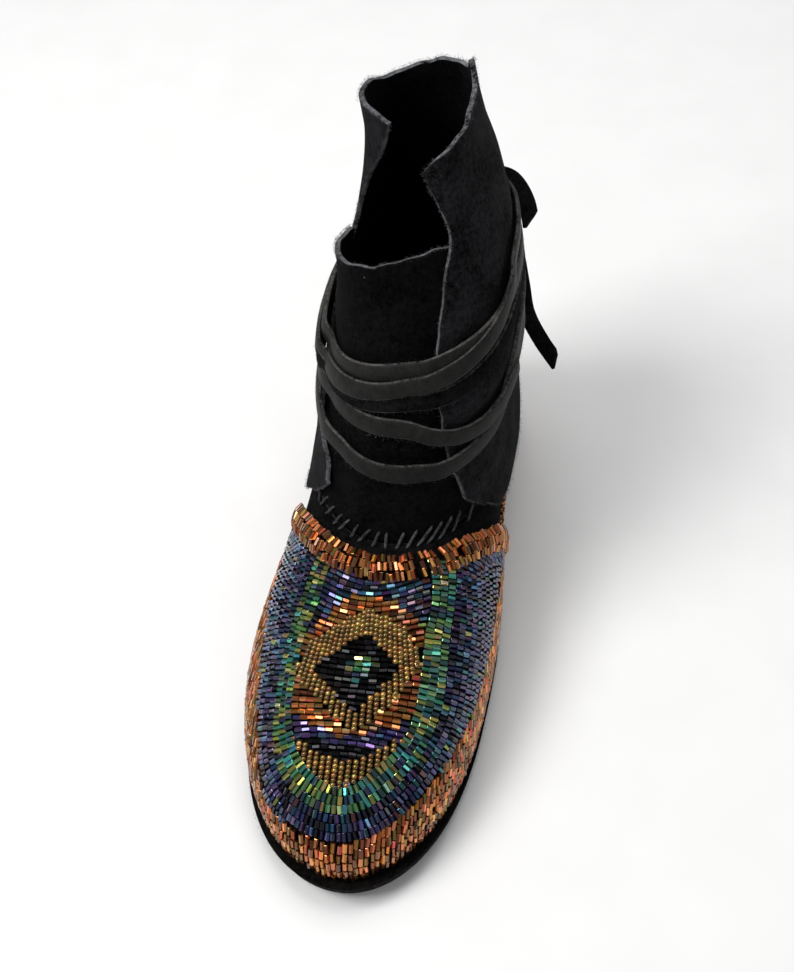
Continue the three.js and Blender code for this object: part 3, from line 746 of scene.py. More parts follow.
class Leather(Enum):
    """The boot's leathers and threads."""

    SUEDE = LeatherFinish("black_suede", linear(5, 5, 6), linear(28, 27, 28), 1500.0, 0.9, 1.0, 0.01, 0.003)
    TONGUE = LeatherFinish("black_nap", linear(4, 4, 4), linear(24, 23, 24), 1400.0, 1.0, 1.0, 0.008, 0.004)
    SHAFT = LeatherFinish("grey_nubuck", linear(8, 8, 9), linear(41, 41, 43), 1500.0, 0.7, 0.95, 0.01, 0.002)
    CUT_EDGE = LeatherFinish("cut_edge", linear(16, 16, 17), linear(118, 119, 122), 1500.0, 1.0, 1.0, 0.03)
    FLESH = LeatherFinish("flesh_side", linear(6, 6, 7), linear(27, 27, 29), 1300.0, 0.9, 1.0, 0.01)
    STRAP = LeatherFinish("strap_grain", linear(13, 12, 12), linear(32, 31, 29), 900.0, 0.3, 0.6, 0.008)
    STRAP_NAP = LeatherFinish("strap_nap", linear(7, 7, 7), linear(31, 30, 30), 1500.0, 0.9, 1.0, 0.012)
    STRAP_EDGE = LeatherFinish("strap_edge", linear(24, 23, 22), linear(92, 90, 87), 1500.0, 0.8, 1.0, 0.03)
    SOLE = LeatherFinish("sole_suede", linear(7, 7, 7), linear(30, 28, 27), 1200.0, 0.8, 1.0, 0.01)
    FOOTBED = LeatherFinish("dark_footbed", linear(16, 14, 13), linear(36, 31, 28), 900.0, 0.5, 0.9)
    THREAD = LeatherFinish("seam_thread", linear(26, 26, 27), linear(76, 76, 78), 1500.0, 0.5, 0.9, 0.02)
    FIBRE = LeatherFinish("loose_fibre", linear(24, 24, 25), linear(104, 104, 107), 900.0, 0.1, 1.0, 0.05)

    def coat(self, piece: bpy.types.Object) -> None:
        """Adds this leather to a piece, as its next material."""
        found = bpy.data.materials.get(self.value.name)
        piece.data.materials.append(found or self.value.material())

    def cut(self, sheet: bpy.types.Object, wall: float, edge_round: float, slot: str, node: str) -> None:
        """Makes a sheet a panel of this leather and hands it over.

        Args:
            sheet: The sheet, without thickness.
            wall: Thickness in millimetres.
            edge_round: Rounding of the cut edge in millimetres.
            slot: Its finish's slot; not used.
            node: The solid that it stands for.
        """
        for leather in (self, Leather.CUT_EDGE, Leather.FLESH):
            leather.coat(sheet)
        thicken(sheet, wall, edge_round)
        smooth_by_angle(sheet)
        settle(sheet, slot, node)


class Palette(Enum):
    """Glass colours of each part of the bead work, and how often each is picked."""

    COPPER = (
        (linear(162, 94, 47), 5), (linear(186, 114, 58), 4), (linear(118, 72, 36), 4),
        (linear(208, 142, 84), 2), (linear(132, 93, 47), 3), (linear(170, 94, 66), 1),
        (linear(94, 57, 31), 2),
    )
    BLUE = (
        (linear(40, 45, 74), 5), (linear(58, 64, 98), 4), (linear(68, 55, 90), 4), (linear(40, 69, 94), 3),
        (linear(86, 70, 98), 2), (linear(27, 27, 36), 5), (linear(66, 98, 126), 2), (linear(82, 56, 56), 1),
        (linear(122, 124, 72), 0.5), (linear(50, 94, 102), 1.5),
    )
    GREEN = (
        (linear(78, 132, 112), 5), (linear(106, 142, 92), 4), (linear(136, 142, 78), 3),
        (linear(70, 150, 142), 3), (linear(174, 170, 96), 2), (linear(50, 84, 92), 3),
        (linear(196, 190, 140), 1), (linear(60, 82, 60), 2), (linear(58, 62, 84), 2),
    )
    GOLD = (
        (linear(122, 92, 42), 5), (linear(146, 112, 56), 4), (linear(102, 76, 36), 4),
        (linear(174, 140, 80), 1),
    )
    BLACK = (
        (linear(20, 20, 22)[:3] + (0.15,), 6), (linear(32, 31, 34)[:3] + (0.2,), 3),
        (linear(44, 40, 44)[:3] + (0.5,), 1),
    )
    PURPLE = (
        (linear(66, 60, 106), 4), (linear(88, 68, 118), 3), (linear(48, 50, 82), 3), (linear(60, 84, 118), 2),
    )

    def pick(self, count: int, chance: np.random.Generator) -> Array:
        """Random colours from the palette, each a little lighter or darker.

        Args:
            count: How many.
            chance: Source of the choices.

        Returns:
            Colours of shape (count, 4).
        """
        weights = np.array([weight for _, weight in self.value], float)
        chosen = chance.choice(len(weights), count, p=weights / weights.sum())
        colours = np.array([colour for colour, _ in self.value])[chosen]
        colours[:, :3] *= chance.uniform(0.72, 1.3, (count, 1))
        return colours


class BeadShape(Enum):
    """The two kinds of bead."""

    TUBE = "tube"
    SEED = "seed"

    def model(self) -> tuple[Array, list[Array]]:
        """Models one bead along Z, of radius 1 and length 1.

        Returns:
            Its points, and its faces grouped by their number of corners.
        """
        deselect()
        if self is BeadShape.TUBE:
            bpy.ops.mesh.primitive_cylinder_add(vertices=6, radius=1.0, depth=1.0, end_fill_type="NGON")
        else:
            bpy.ops.mesh.primitive_torus_add(
                major_segments=9, minor_segments=6, major_radius=0.64, minor_radius=0.36)
        bead = bpy.context.object
        bpy.ops.object.mode_set(mode="EDIT")
        if self is BeadShape.TUBE:
            bpy.ops.mesh.select_mode(type="FACE")
            bpy.ops.mesh.select_all(action="DESELECT")
            bpy.ops.object.mode_set(mode="OBJECT")
            for face in bead.data.polygons:
                face.select = abs(face.normal.z) > 0.9
            bpy.ops.object.mode_set(mode="EDIT")
            bpy.ops.mesh.inset(thickness=0.12, depth=0.05, use_individual=True)
            bpy.ops.mesh.inset(thickness=0.42, depth=-0.03, use_individual=True)
        bpy.ops.object.mode_set(mode="OBJECT")
        points = np.array([vertex.co for vertex in bead.data.vertices])
        points[:, 2] *= 1.0 / np.ptp(points[:, 2])
        sizes = sorted({len(face.vertices) for face in bead.data.polygons})
        faces = [
            np.array([list(face.vertices) for face in bead.data.polygons if len(face.vertices) == size])
            for size in sizes
        ]
        mesh = bead.data
        bpy.data.objects.remove(bead)
        bpy.data.meshes.remove(mesh)
        return points, faces


@dataclass
class BeadLot:
    """Beads that wait to be joined: places, directions, sizes and colours."""

    shape: BeadShape
    centres: list[Array] = field(default_factory=list)
    axes: list[Array] = field(default_factory=list)
    outs: list[Array] = field(default_factory=list)
    sizes: list[Array] = field(default_factory=list)
    colours: list[Array] = field(default_factory=list)

    def add(self, centres: Array, axes: Array, outs: Array, length: Array | float, radius: float,
            colours: Array) -> None:
        """Adds a run of beads.

        Args:
            centres: Millimetre places of the beads' middles.
            axes: Directions of their holes.
            outs: Directions away from the boot.
            length: Length of each.
            radius: Radius of all.
            colours: One colour each.
        """
        self.centres.append(centres)
        self.axes.append(axes)
        self.outs.append(outs)
        sizes = np.empty((len(centres), 2))
        sizes[:, 0] = length
        sizes[:, 1] = radius
        self.sizes.append(sizes)
        self.colours.append(colours)

    def joined(self, name: str, chance: np.random.Generator) -> bpy.types.Object:
        """Joins all beads into one piece, each a little loose on its thread.

        Args:
            name: Name of the piece.
            chance: Source of the looseness.

        Returns:
            The piece, with a colour on every facet.
        """
        points, faces = self.shape.model()
        centres, outs = np.concatenate(self.centres), np.concatenate(self.outs)
        sizes, colours = np.concatenate(self.sizes), np.concatenate(self.colours)
        count = len(centres)
        axes = unit(np.concatenate(self.axes) + chance.normal(0, 0.06, (count, 3)))
        side = unit(np.cross(outs, axes))
        lift = np.cross(axes, side)
        spin = chance.uniform(0, 2 * np.pi, count)
        across = side * np.cos(spin)[:, None] + lift * np.sin(spin)[:, None]
        through = lift * np.cos(spin)[:, None] - side * np.sin(spin)[:, None]
        sizes = sizes * chance.normal(1.0, 0.04, sizes.shape)
        spots = (
            centres[:, None]
            + points[None, :, :1] * (across * sizes[:, 1:])[:, None]
            + points[None, :, 1:2] * (through * sizes[:, 1:])[:, None]
            + points[None, :, 2:] * (axes * sizes[:, :1])[:, None]
        ).reshape(-1, 3)
        steps = (np.arange(count) * len(points))[:, None, None]
        all_faces = [(part[None] + steps).reshape(-1, part.shape[1]) for part in faces]
        piece = mesh_piece(name, spots, all_faces)
        activate(piece)
        bpy.ops.object.shade_flat()
        tints = []
        for part in faces:
            facet = chance.normal(1.0, 0.2, (count, len(part), 3))
            tint = np.repeat(colours[:, None], len(part), axis=1)
            tint[..., :3] = np.clip(tint[..., :3] * facet, 0.002, 0.95)
            tints.append(np.repeat(tint.reshape(-1, 4), part.shape[1], axis=0))
        layer = piece.data.color_attributes.new(BeadWork.COLOUR, "FLOAT_COLOR", "CORNER")
        layer.data.foreach_set("color", np.concatenate(tints).ravel())
        return piece


class Plan:
    """Outlines of the bead pattern in plan, drawn one by one."""

    GREEN_INNER = (
        (-12, -23), (-16, -30), (-18, -42), (-21, -52), (-22, -61), (-22.5, -71), (-22, -79), (-19.5, -88),
        (-15, -95.5), (-8.5, -101), (-1, -103.5), (5, -102), (10, -96.5), (16, -89.5), (20, -81.5),
        (21.3, -74), (21.7, -68), (21.7, -59), (21.2, -49), (21.7, -38), (20.5, -29), (18, -23),
    )
    GREEN_OUTER = (
        (-19, -19), (-22.5, -27), (-24.5, -36), (-27, -47), (-28.5, -59), (-28.5, -71), (-28, -81),
        (-26.5, -90), (-23, -98.5), (-17, -105.5), (-9, -110), (-1, -111.5), (7, -109.5), (13.5, -104.5),
        (20, -96), (25, -86.5), (28, -77), (29.3, -68), (29.3, -58), (29, -47), (29, -34), (27.5, -19),
    )
    DIAMOND = ((-17.5, -65.5), (1.5, -52), (15.5, -63), (1, -81))
    FRAME = (
        (-22.5, -67), (-18.5, -57), (0.5, -44.8), (13.5, -49), (21, -58), (13, -75), (1.5, -86), (-8, -79),
    )
    CLUSTER = ((-5, -64), (0.5, -59.5), (7, -63), (0.5, -70))
    COPPER = (
        (-23.5, -71), (-23, -63), (-20.5, -55), (-14, -46.5), (-7, -41), (-0.5, -39.5), (7.5, -40),
        (14.5, -43), (19.5, -48), (22.5, -55), (23.5, -62), (22.5, -70), (21.5, -75), (17.5, -81.5),
        (9.5, -84.5), (1.5, -87.5), (-3.5, -88.5), (-13.5, -84), (-22.5, -79.5),
    )
    ARC = (
        (-21, -87.5), (-17.5, -94.5), (-9.5, -101), (-1, -103.5), (9, -99.5), (15, -92.5), (19.5, -85.5),
        (15.5, -86.5), (13, -89.5), (7, -94), (-1, -96.5), (-9.5, -94.5), (-16, -90.5),
    )
    LENS = (
        (-17.5, -88.5), (-12, -89.2), (-1, -91), (8, -90.2), (15.5, -87.5), (13, -89.5), (7, -94),
        (-1, -96.5), (-9.5, -94.5), (-16, -91),
    )
    PURPLE_FROM = -78.5
    MIDDLE = -0.5
    ROW_SAG = ((-110, -1), (-85, 0), (-60, 3), (-36, 7))
    SAG_HALF = 18.0
    STRING_FAN, FAN_FROM, FAN_LEAST = 0.0106, -67.0, -15.0
    GOLD_GROW = 0.7

    @staticmethod
    def inside(plan: Array, outline: Array | Sequence[tuple[float, float]]) -> Array:
        """Which plan points lie inside an outline."""
        x, y = plan[:, 0], plan[:, 1]
        within = np.zeros(len(plan), bool)
        corners = np.array(outline)
        for (ax, ay), (bx, by) in zip(corners, np.roll(corners, -1, axis=0)):
            crosses = (ay > y) != (by > y)
            where = (bx - ax) * (y - ay) / np.where(by == ay, 1e-9, by - ay) + ax
            within ^= crosses & (x < where)
        return within

    @classmethod
    def gold(cls, plan: Array) -> Array:
        """Which plan points belong to the round gold beads."""
        border = cls.inside(plan, cls.FRAME) & ~cls.inside(plan, cls.DIAMOND)
        return border | cls.inside(plan, cls.ARC)

    @classmethod
    def colours(cls, plan: Array, chance: np.random.Generator) -> Array:
        """Colours of the tube beads in the middle of the vamp.

        Args:
            plan: Plan points of the beads.
            chance: Source of the choices.

        Returns:
            Colours of shape (beads, 4).
        """
        colours = Palette.BLUE.pick(len(plan), chance)
        layers = (
            (plan[:, 1] < cls.PURPLE_FROM, Palette.PURPLE),
            (cls.inside(plan, cls.COPPER), Palette.COPPER),
            (cls.inside(plan, cls.LENS), Palette.BLACK),
            (cls.inside(plan, cls.DIAMOND), Palette.BLACK),
            (cls.inside(plan, cls.CLUSTER), Palette.GREEN),
        )
        for chosen, palette in layers:
            colours[chosen] = palette.pick(int(chosen.sum()), chance)
        return colours


def along_line(points: Sequence[tuple[float, ...]], count: int) -> Array:
    """Evenly spaced points of a smooth line through given ones.

    Args:
        points: Points that the line passes.
        count: How many to give.

    Returns:
        Points of shape (count, dimensions).
    """
    known = np.array(points, float)
    padded = np.vstack([2 * known[0] - known[1], known, 2 * known[-1] - known[-2]])
    fine = []
    for a, b, c, d in zip(padded, padded[1:], padded[2:], padded[3:]):
        t = np.linspace(0, 1, 24, endpoint=False)[:, None]
        fine.append(0.5 * (2 * b + (c - a) * t + (2 * a - 5 * b + 4 * c - d) * t ** 2
                           + (3 * b - 3 * c + d - a) * t ** 3))
    line = np.vstack(fine + [known[-1:]])
    return even(line, count)


def distances(line: Array) -> Array:
    """Distance along a line from its start to each of its points."""
    return np.concatenate([[0], np.cumsum(np.linalg.norm(np.diff(line, axis=0), axis=1))])


def even(line: Array, count: int) -> Array:
    """A line's points spaced evenly."""
    reach = distances(line)
    want = np.linspace(0, reach[-1], count)
    return sample(want, reach, line)


@dataclass
class BeadWork:
    """Glass beads sewn to the upper: a rim round the sole, a patterned vamp and a roll at the throat."""

    COLOUR = "bead_colour"

    tube_length: float = 2.9
    tube_radius: float = 0.92
    tube_pitch: float = 1.98
    rim_length: float = 3.35
    seed_length: float = 1.5
    seed_radius: float = 1.12
    seed_pitch: float = 1.62
    seed_lane: float = 2.0
    lift: float = 0.45
    bead_gap: float = 0.12
    thread_gap: float = 0.15
    probe: float = 0.8
    seed_smooth: float = 80.0
    rim_foot: float = 1.2
    rim_string: float = 2.02
    roll_half: float = 5.0
    roll_height: float = 1.5
    rim_inner: tuple = (
        (0, 17.5), (7, 20), (13, 21.8), (18, 23.5), (25, 24.8), (38, 25.5), (46, 27), (52, 30), (59, 31),
        (65, 23.5), (72, 18), (84, 14), (180, 14),
    )
    rim_outer: tuple = (
        (0, 17.5), (7, 17.2), (13, 15.8), (17, 17), (21, 22), (24, 27.5), (28, 33), (32, 38), (38, 42),
        (46, 42), (52, 39), (59, 32), (65, 23.5), (72, 18), (84, 14), (180, 14),
    )
    roll_line: tuple = (
        (0, 0, 9.8), (0.35, 28, 9.8), (0.55, 43, 11), (0.72, 55, 14), (0.87, 65, 21), (1, 70, 29),
    )
    roll_gaps: tuple = ((0.205, 0.225), (0.262, 0.284), (0.302, 0.314), (0.346, 0.372))
    field_edge: tuple = ((0, 13.6), (28, 13.6), (43, 15), (52, 18), (62, 24), (67, 29))
    band_end: float = 69.0
    band_fade: float = 0.16
    chance: np.random.Generator = field(default_factory=lambda: np.random.default_rng(SEED))

    def build(self) -> None:
        """Makes and dresses the three parts."""
        self._rim()
        self._vamp()
        self._roll()

    @property
    def tube_seat(self) -> float:
        """Height of a tube bead's middle over the upper."""
        return self.lift + self.tube_radius

    def _sew(self, lot: BeadLot, name: str, finish: BeadFinish, slot: str, *nodes: str) -> None:
        """Joins a lot of beads into one piece, gives it its glass and hands it over."""
        piece = lot.joined(name, self.chance)
        piece.data.materials.append(finish.material())
        if lot.shape is BeadShape.SEED:
            smooth_by_angle(piece, self.seed_smooth)
        settle(piece, slot, *nodes)

    def _spaced(self, total: float, pitch: float, loose: float) -> Array:
        """Places for beads along a line.

        Args:
            total: Length of the line.
            pitch: Usual distance from bead to bead.
            loose: How far each strays from its place, as a share of the pitch.

        Returns:
            Distances from the line's start.
        """
        count = max(int(total / pitch), 2)
        return (np.arange(count) + 0.5 + self.chance.normal(0, loose, count)) * total / count

    def _lane(self, lot: BeadLot, turn: Array, level: Array, length: Array, palette: Palette,
              keep: Array) -> None:
        """Sews tube beads side by side along a line on the upper.

        Args:
            lot: Where the beads go.
            turn: Turns of the line's points.
            level: Levels of the line's points.
            length: Bead length at each point of the line.
            palette: Their colours.
            keep: Which points of the line carry beads.
        """
        line = FORM.upper_at(turn, level, self.tube_seat)
        reach = distances(line)
        want = self._spaced(reach[-1], self.tube_pitch, 0.05)
        turn_at, level_at = np.interp(want, reach, turn), np.interp(want, reach, level)
        centres = FORM.upper_at(turn_at, level_at, self.tube_seat)
        run = sample(want + self.probe, reach, line) - sample(want - self.probe, reach, line)
        outs = FORM.upper_out(turn_at, level_at)
        axes = unit(np.cross(outs, run))
        sizes = np.interp(want, reach, length)
        colours = palette.pick(len(want), self.chance)
        held = np.interp(want, reach, keep.astype(float)) > 0.5
        lot.add(centres[held], axes[held], outs[held], sizes[held], self.tube_radius, colours[held])

    def _thread(self, lot: BeadLot, spot: tuple[Array, Array], want: Array, length: float, radius: float,
                colours: Array) -> None:
        """Strings beads end to end along a line on the upper.

        Args:
            lot: Where the beads go.
            spot: Turns and levels of the line's points.
            want: Distance of each bead's middle from the line's start.
            length: Bead length.
            radius: Bead radius.
            colours: One colour each.
        """
        line = FORM.upper_at(*spot, self.lift + radius)
        run = distances(line)
        turn, level = np.interp(want, run, spot[0]), np.interp(want, run, spot[1])
        centres = FORM.upper_at(turn, level, self.lift + radius)
        axes = sample(want, run, unit(np.gradient(line, run, axis=0)))
        lot.add(centres, axes, FORM.upper_out(turn, level), length, radius, colours)

    def _rim_edge(self, turn: Array) -> Array:
        """How far up the wall the copper rim reaches."""
        place = np.mod(turn, 360.0)
        inner, outer = Table(self.rim_inner, flat_ends=True), Table(self.rim_outer, flat_ends=True)
        return np.where(place <= 180, inner(place), outer(360 - place))

    def _rim(self) -> None:
        """Copper rim: strings of tubes from its upper edge down to the sole."""
        lot = BeadLot(BeadShape.TUBE)
        turn = np.concatenate([FORM.column_turn(np.linspace(0, 1, 721))[:-1], [360.0]])
        level = FORM.level_above(turn, self._rim_edge(turn) * 0.6)
        reach = distances(FORM.upper_at(turn, level, self.tube_seat))
        string = np.interp(self._spaced(reach[-1], self.rim_string, 0.08), reach, turn)
        count = len(string)
        top = self._rim_edge(string) + self.chance.normal(0, 0.35, count)
        pitch = self.rim_length + self.bead_gap
        for row in range(int(top.max() / pitch) + 1):
            climb = top - (row + 0.5) * pitch
            held = (climb - self.rim_length / 2 > self.rim_foot - 0.9) & (self.chance.random(count) > 0.008)
            if not held.any():
                continue
            at = string[held] + self.chance.normal(0, 0.12, int(held.sum()))
            level = FORM.level_above(at, climb[held])
            step = FORM.LEVEL_PROBE
            rise = FORM.upper_point(at, np.minimum(level + step, 1)) - FORM.upper_point(at, level - step)
            centres = FORM.upper_at(at, level, self.tube_seat)
            colours = Palette.COPPER.pick(len(at), self.chance)
            out = FORM.upper_out(at, level)
            lot.add(centres, unit(rise), out, self.rim_length, self.tube_radius, colours)
        self._sew(lot, "bead_rim_tubes", BeadFinish("rim_glass", 0.9, 0.2), "rim_beads", "bead_rim")

    def _band(self, lot: BeadLot, outer: tuple[Array, Array], inner: tuple[Array, Array], lanes: int,
              palette: Palette) -> None:
        """Fills the strip between two lines on the upper with lanes of tube beads.

        Args:
            lot: Where the beads go.
            outer: Turns and levels of the outer line, evenly spaced.
            inner: As many turns and levels of the inner line.
            lanes: How many lanes, or none for lanes of a bead's length from the inner line outward.
            palette: Their colours.
        """
        steps = np.linspace(0, 1, 17)[None]
        turn = mix(outer[0][:, None], inner[0][:, None], steps)
        level = mix(outer[1][:, None], inner[1][:, None], steps)
        if not lanes:
            along = np.linspace(0, 1, len(turn))[:, None]
            for end, near in ((0, along), (-1, 1 - along)):
                raised = self._roll_foot(turn[end]) - level[end]
                level = level + raised[None] * smooth(1 - near / self.band_fade)
        points = FORM.upper_point(turn, level)
        runs = np.linalg.norm(np.diff(points, axis=1), axis=2)
        reach = np.concatenate([np.zeros((len(turn), 1)), np.cumsum(runs, axis=1)], axis=1)
        width = reach[:, -1]
        pitch = width / lanes if lanes else np.full(len(width), self.tube_length + self.thread_gap)
        for lane in range(int((width / pitch).max() + 0.7)):
            want = width - (lane + 0.5) * pitch
            keep = want > 0.05 * pitch
            turn_at = np.array([np.interp(w, r, t) for w, r, t in zip(want, reach, turn)])
            level_at = np.array([np.interp(w, r, l) for w, r, l in zip(want, reach, level)])
            length = np.clip(pitch - self.bead_gap, 1.6, 3.6)
            self._lane(lot, turn_at, level_at, length, palette, keep)

    def _roll_foot(self, turn: Array) -> Array:
        """Level just under the roll's lower edge."""
        line = Table([(turned, drop) for _, turned, drop in self.roll_line], flat_ends=True)
        return FORM.level_below(turn, line(np.abs(turn)) + self.roll_half - 1.5)

    def _rim_line(self, count: int) -> tuple[Array, Array]:
        """Turns and levels of the line just inside the rim, from the outer throat to the inner one."""
        turn = np.linspace(-self.band_end, self.band_end, 360)
        level = FORM.level_above(turn, self._rim_edge(turn) + 0.3)
        reach = distances(FORM.upper_point(turn, level))
        want = np.linspace(0, reach[-1], count)
        return np.interp(want, reach, turn), np.interp(want, reach, level)

    def _vamp(self) -> None:
        """Patterned vamp: blue and green bands round a middle of rows."""
        tubes, seeds = BeadLot(BeadShape.TUBE), BeadLot(BeadShape.SEED)
        count = 220
        green_outer = FORM.vamp_spot(along_line(Plan.GREEN_OUTER, count))
        inner_plan = along_line(Plan.GREEN_INNER, count)
        self._band(tubes, self._rim_line(count), green_outer, 0, Palette.BLUE)
        self._band(tubes, green_outer, FORM.vamp_spot(inner_plan), 3, Palette.GREEN)
        self._rows(tubes, inner_plan)
        self._columns(seeds, inner_plan)
        glass, gilt = BeadFinish("vamp_glass", 0.85, 0.18), BeadFinish("seed_glass", 0.7, 0.22)
        self._sew(tubes, "bead_vamp_tubes", glass, "field_beads", "bead_field")
        self._sew(seeds, "bead_vamp_seeds", gilt, "field_beads")

    def _field_top(self, x: Array) -> Array:
        """Plan line of the vamp's upper edge, under the roll."""
        turn = np.linspace(-self.band_end, self.band_end, 180)
        drop = Table(self.field_edge, flat_ends=True)(FORM.fold(turn))
        edge = FORM.upper_point(turn, FORM.level_below(turn, drop))
        return np.interp(x, edge[:, 0], edge[:, 1])

    def _rows(self, lot: BeadLot, inner: Array) -> None:
        """Rows of tube beads across the middle, end to end, hanging like the roll above them."""
        walk = np.linspace(-24, -108, 400)
        plan = np.stack([np.full_like(walk, Plan.MIDDLE), walk], axis=1)
        reach = distances(FORM.upper_point(*FORM.vamp_spot(plan)))
        sag = Table(Plan.ROW_SAG)
        pitch = self.tube_length + self.thread_gap
        for middle in np.interp(np.arange(0, reach[-1], self.tube_pitch), reach, walk):
            across = np.linspace(-30, 32, 90)
            y = middle + sag(middle) * ((across - Plan.MIDDLE) / Plan.SAG_HALF) ** 2
            row = np.stack([across, y], axis=1)
            within = Plan.inside(row, inner) & (y < self._field_top(across) - 0.4)
            if within.sum() < 4:
                continue
            row = row[within]
            spot = FORM.vamp_spot(row)
            run = distances(FORM.upper_at(*spot, self.tube_seat))
            count = max(int(round(run[-1] / pitch)), 1)
            want = (np.arange(count) + 0.5) * run[-1] / count
            want = np.clip(want + self.chance.uniform(-0.35, 0.35), 0.3, run[-1] - 0.3)
            plan = sample(want, run, row)
            held = ~Plan.gold(plan)
            colours = Plan.colours(plan[held], self.chance)
            size = min(run[-1] / count - self.bead_gap, 3.4)
            self._thread(lot, spot, want[held], size, self.tube_radius, colours)

    def _columns(self, lot: BeadLot, inner: Array) -> None:
        """Strings of round gold beads along the foot, in the diamond's frame and the arc below it."""
        for lane in np.arange(-24, 24, self.seed_lane):
            y = np.linspace(-40, -107, 260)
            fan = 1 - Plan.STRING_FAN * np.maximum(y - Plan.FAN_FROM, Plan.FAN_LEAST)
            column = np.stack([Plan.MIDDLE + lane * fan, y], axis=1)
            spot = FORM.vamp_spot(column)
            run = distances(FORM.upper_at(*spot, self.lift + self.seed_radius))
            want = np.arange(self.chance.uniform(0, self.seed_pitch), run[-1], self.seed_pitch)
            plan = sample(want, run, column)
            grow = Plan.GOLD_GROW * np.array([(0, 0), (1, 0), (-1, 0), (0, 1), (0, -1)])
            held = np.any([Plan.gold(plan + step) for step in grow], axis=0)
            held &= Plan.inside(plan, inner)
            if not held.any():
                continue
            colours = Palette.GOLD.pick(int(held.sum()), self.chance)
            self._thread(lot, spot, want[held], self.seed_length, self.seed_radius, colours)

    def _roll_frame(self, position: Array) -> tuple[Array, Array, Array, Array]:
        """Seat of the roll along its line, with the directions out, along and across (up the wall)."""
        turns, drops = Table(self.roll_line, 1), Table(self.roll_line, 2, True)

        def seat(at: Array) -> tuple[Array, Array]:
            """Turn and level of the roll's middle."""
            turn = np.sign(at) * turns(np.abs(at))
            return turn, FORM.level_below(turn, drops(np.abs(at)))

        turn, level = seat(position)
        spot = FORM.upper_at(turn, level, self.lift)
        out = FORM.upper_out(turn, level)
        ahead, behind = seat(np.clip(position + 0.02, -1, 1)), seat(np.clip(position - 0.02, -1, 1))
        run = unit(FORM.upper_at(*ahead, self.lift) - FORM.upper_at(*behind, self.lift))
        side = unit(np.cross(out, run))
        return spot, out, run, side

    def _roll(self) -> None:
        """Roll at the throat: a padded core under lanes of copper beads."""
        half, height = self.roll_half - 0.9, self.roll_height

        def core(across: Array, up: Array) -> Array:
            """Points of the padded core."""
            spot, out, _, side = self._roll_frame(mix(-1.0, 1.0, across))
            angle = np.pi * up
            close = np.minimum(1.0, np.minimum(across, 1 - across) * 22 + 0.35)
            point = spot + side * (np.cos(angle) * half * close)[:, None]
            return point + out * (np.sin(angle) * height * close)[:, None]

        pad = grid_sheet("bead_roll_core", 120, 8, core)
        Leather.SUEDE.coat(pad)
        smooth_by_angle(pad, 60)
        settle(pad, "roll_beads")
        lot = BeadLot(BeadShape.TUBE)
        lift = self.tube_radius * 0.95
        arch = np.linspace(0, np.pi, 200)
        wide, tall = half + lift, height + lift
        over = distances(np.stack([wide * np.cos(arch), tall * np.sin(arch)], axis=1))
        middle = over[-1] / 2
        for place in (middle - self.rim_length, middle, middle + self.rim_length):
            position = np.linspace(-0.985, 0.985, 420)
            spot, out, run, side = self._roll_frame(position)
            angle = np.interp(place, over, arch)
            reach = distances(spot + side * (np.cos(angle) * wide) + out * (np.sin(angle) * tall))
            want = self._spaced(reach[-1], self.tube_pitch * 0.98, 0.12)
            count = len(want)
            spot, out, run, side = (sample(want, reach, part) for part in (spot, out, run, side))
            angle = np.interp(place + self.chance.normal(0, 0.35, count), over, arch)[:, None]
            centres = spot + side * (np.cos(angle) * wide) + out * (np.sin(angle) * tall)
            slant = self.chance.normal(0.12, 0.08, count)[:, None]
            axes = unit(-side * (np.sin(angle) * wide) + out * (np.cos(angle) * tall) + run * slant * wide)
            outs = unit(side * (np.cos(angle) * tall) + out * (np.sin(angle) * wide))
            at = np.interp(want, reach, position)
            missing = np.any([(at > start) & (at < end) for start, end in self.roll_gaps], axis=0)
            held = ~missing & (self.chance.random(count) > 0.015)
            colours = Palette.COPPER.pick(count, self.chance)
            lot.add(centres[held], axes[held], outs[held], self.rim_length, self.tube_radius, colours[held])
        self._sew(lot, "bead_roll_tubes", BeadFinish("roll_glass", 0.9, 0.2), "roll_beads", "bead_roll")


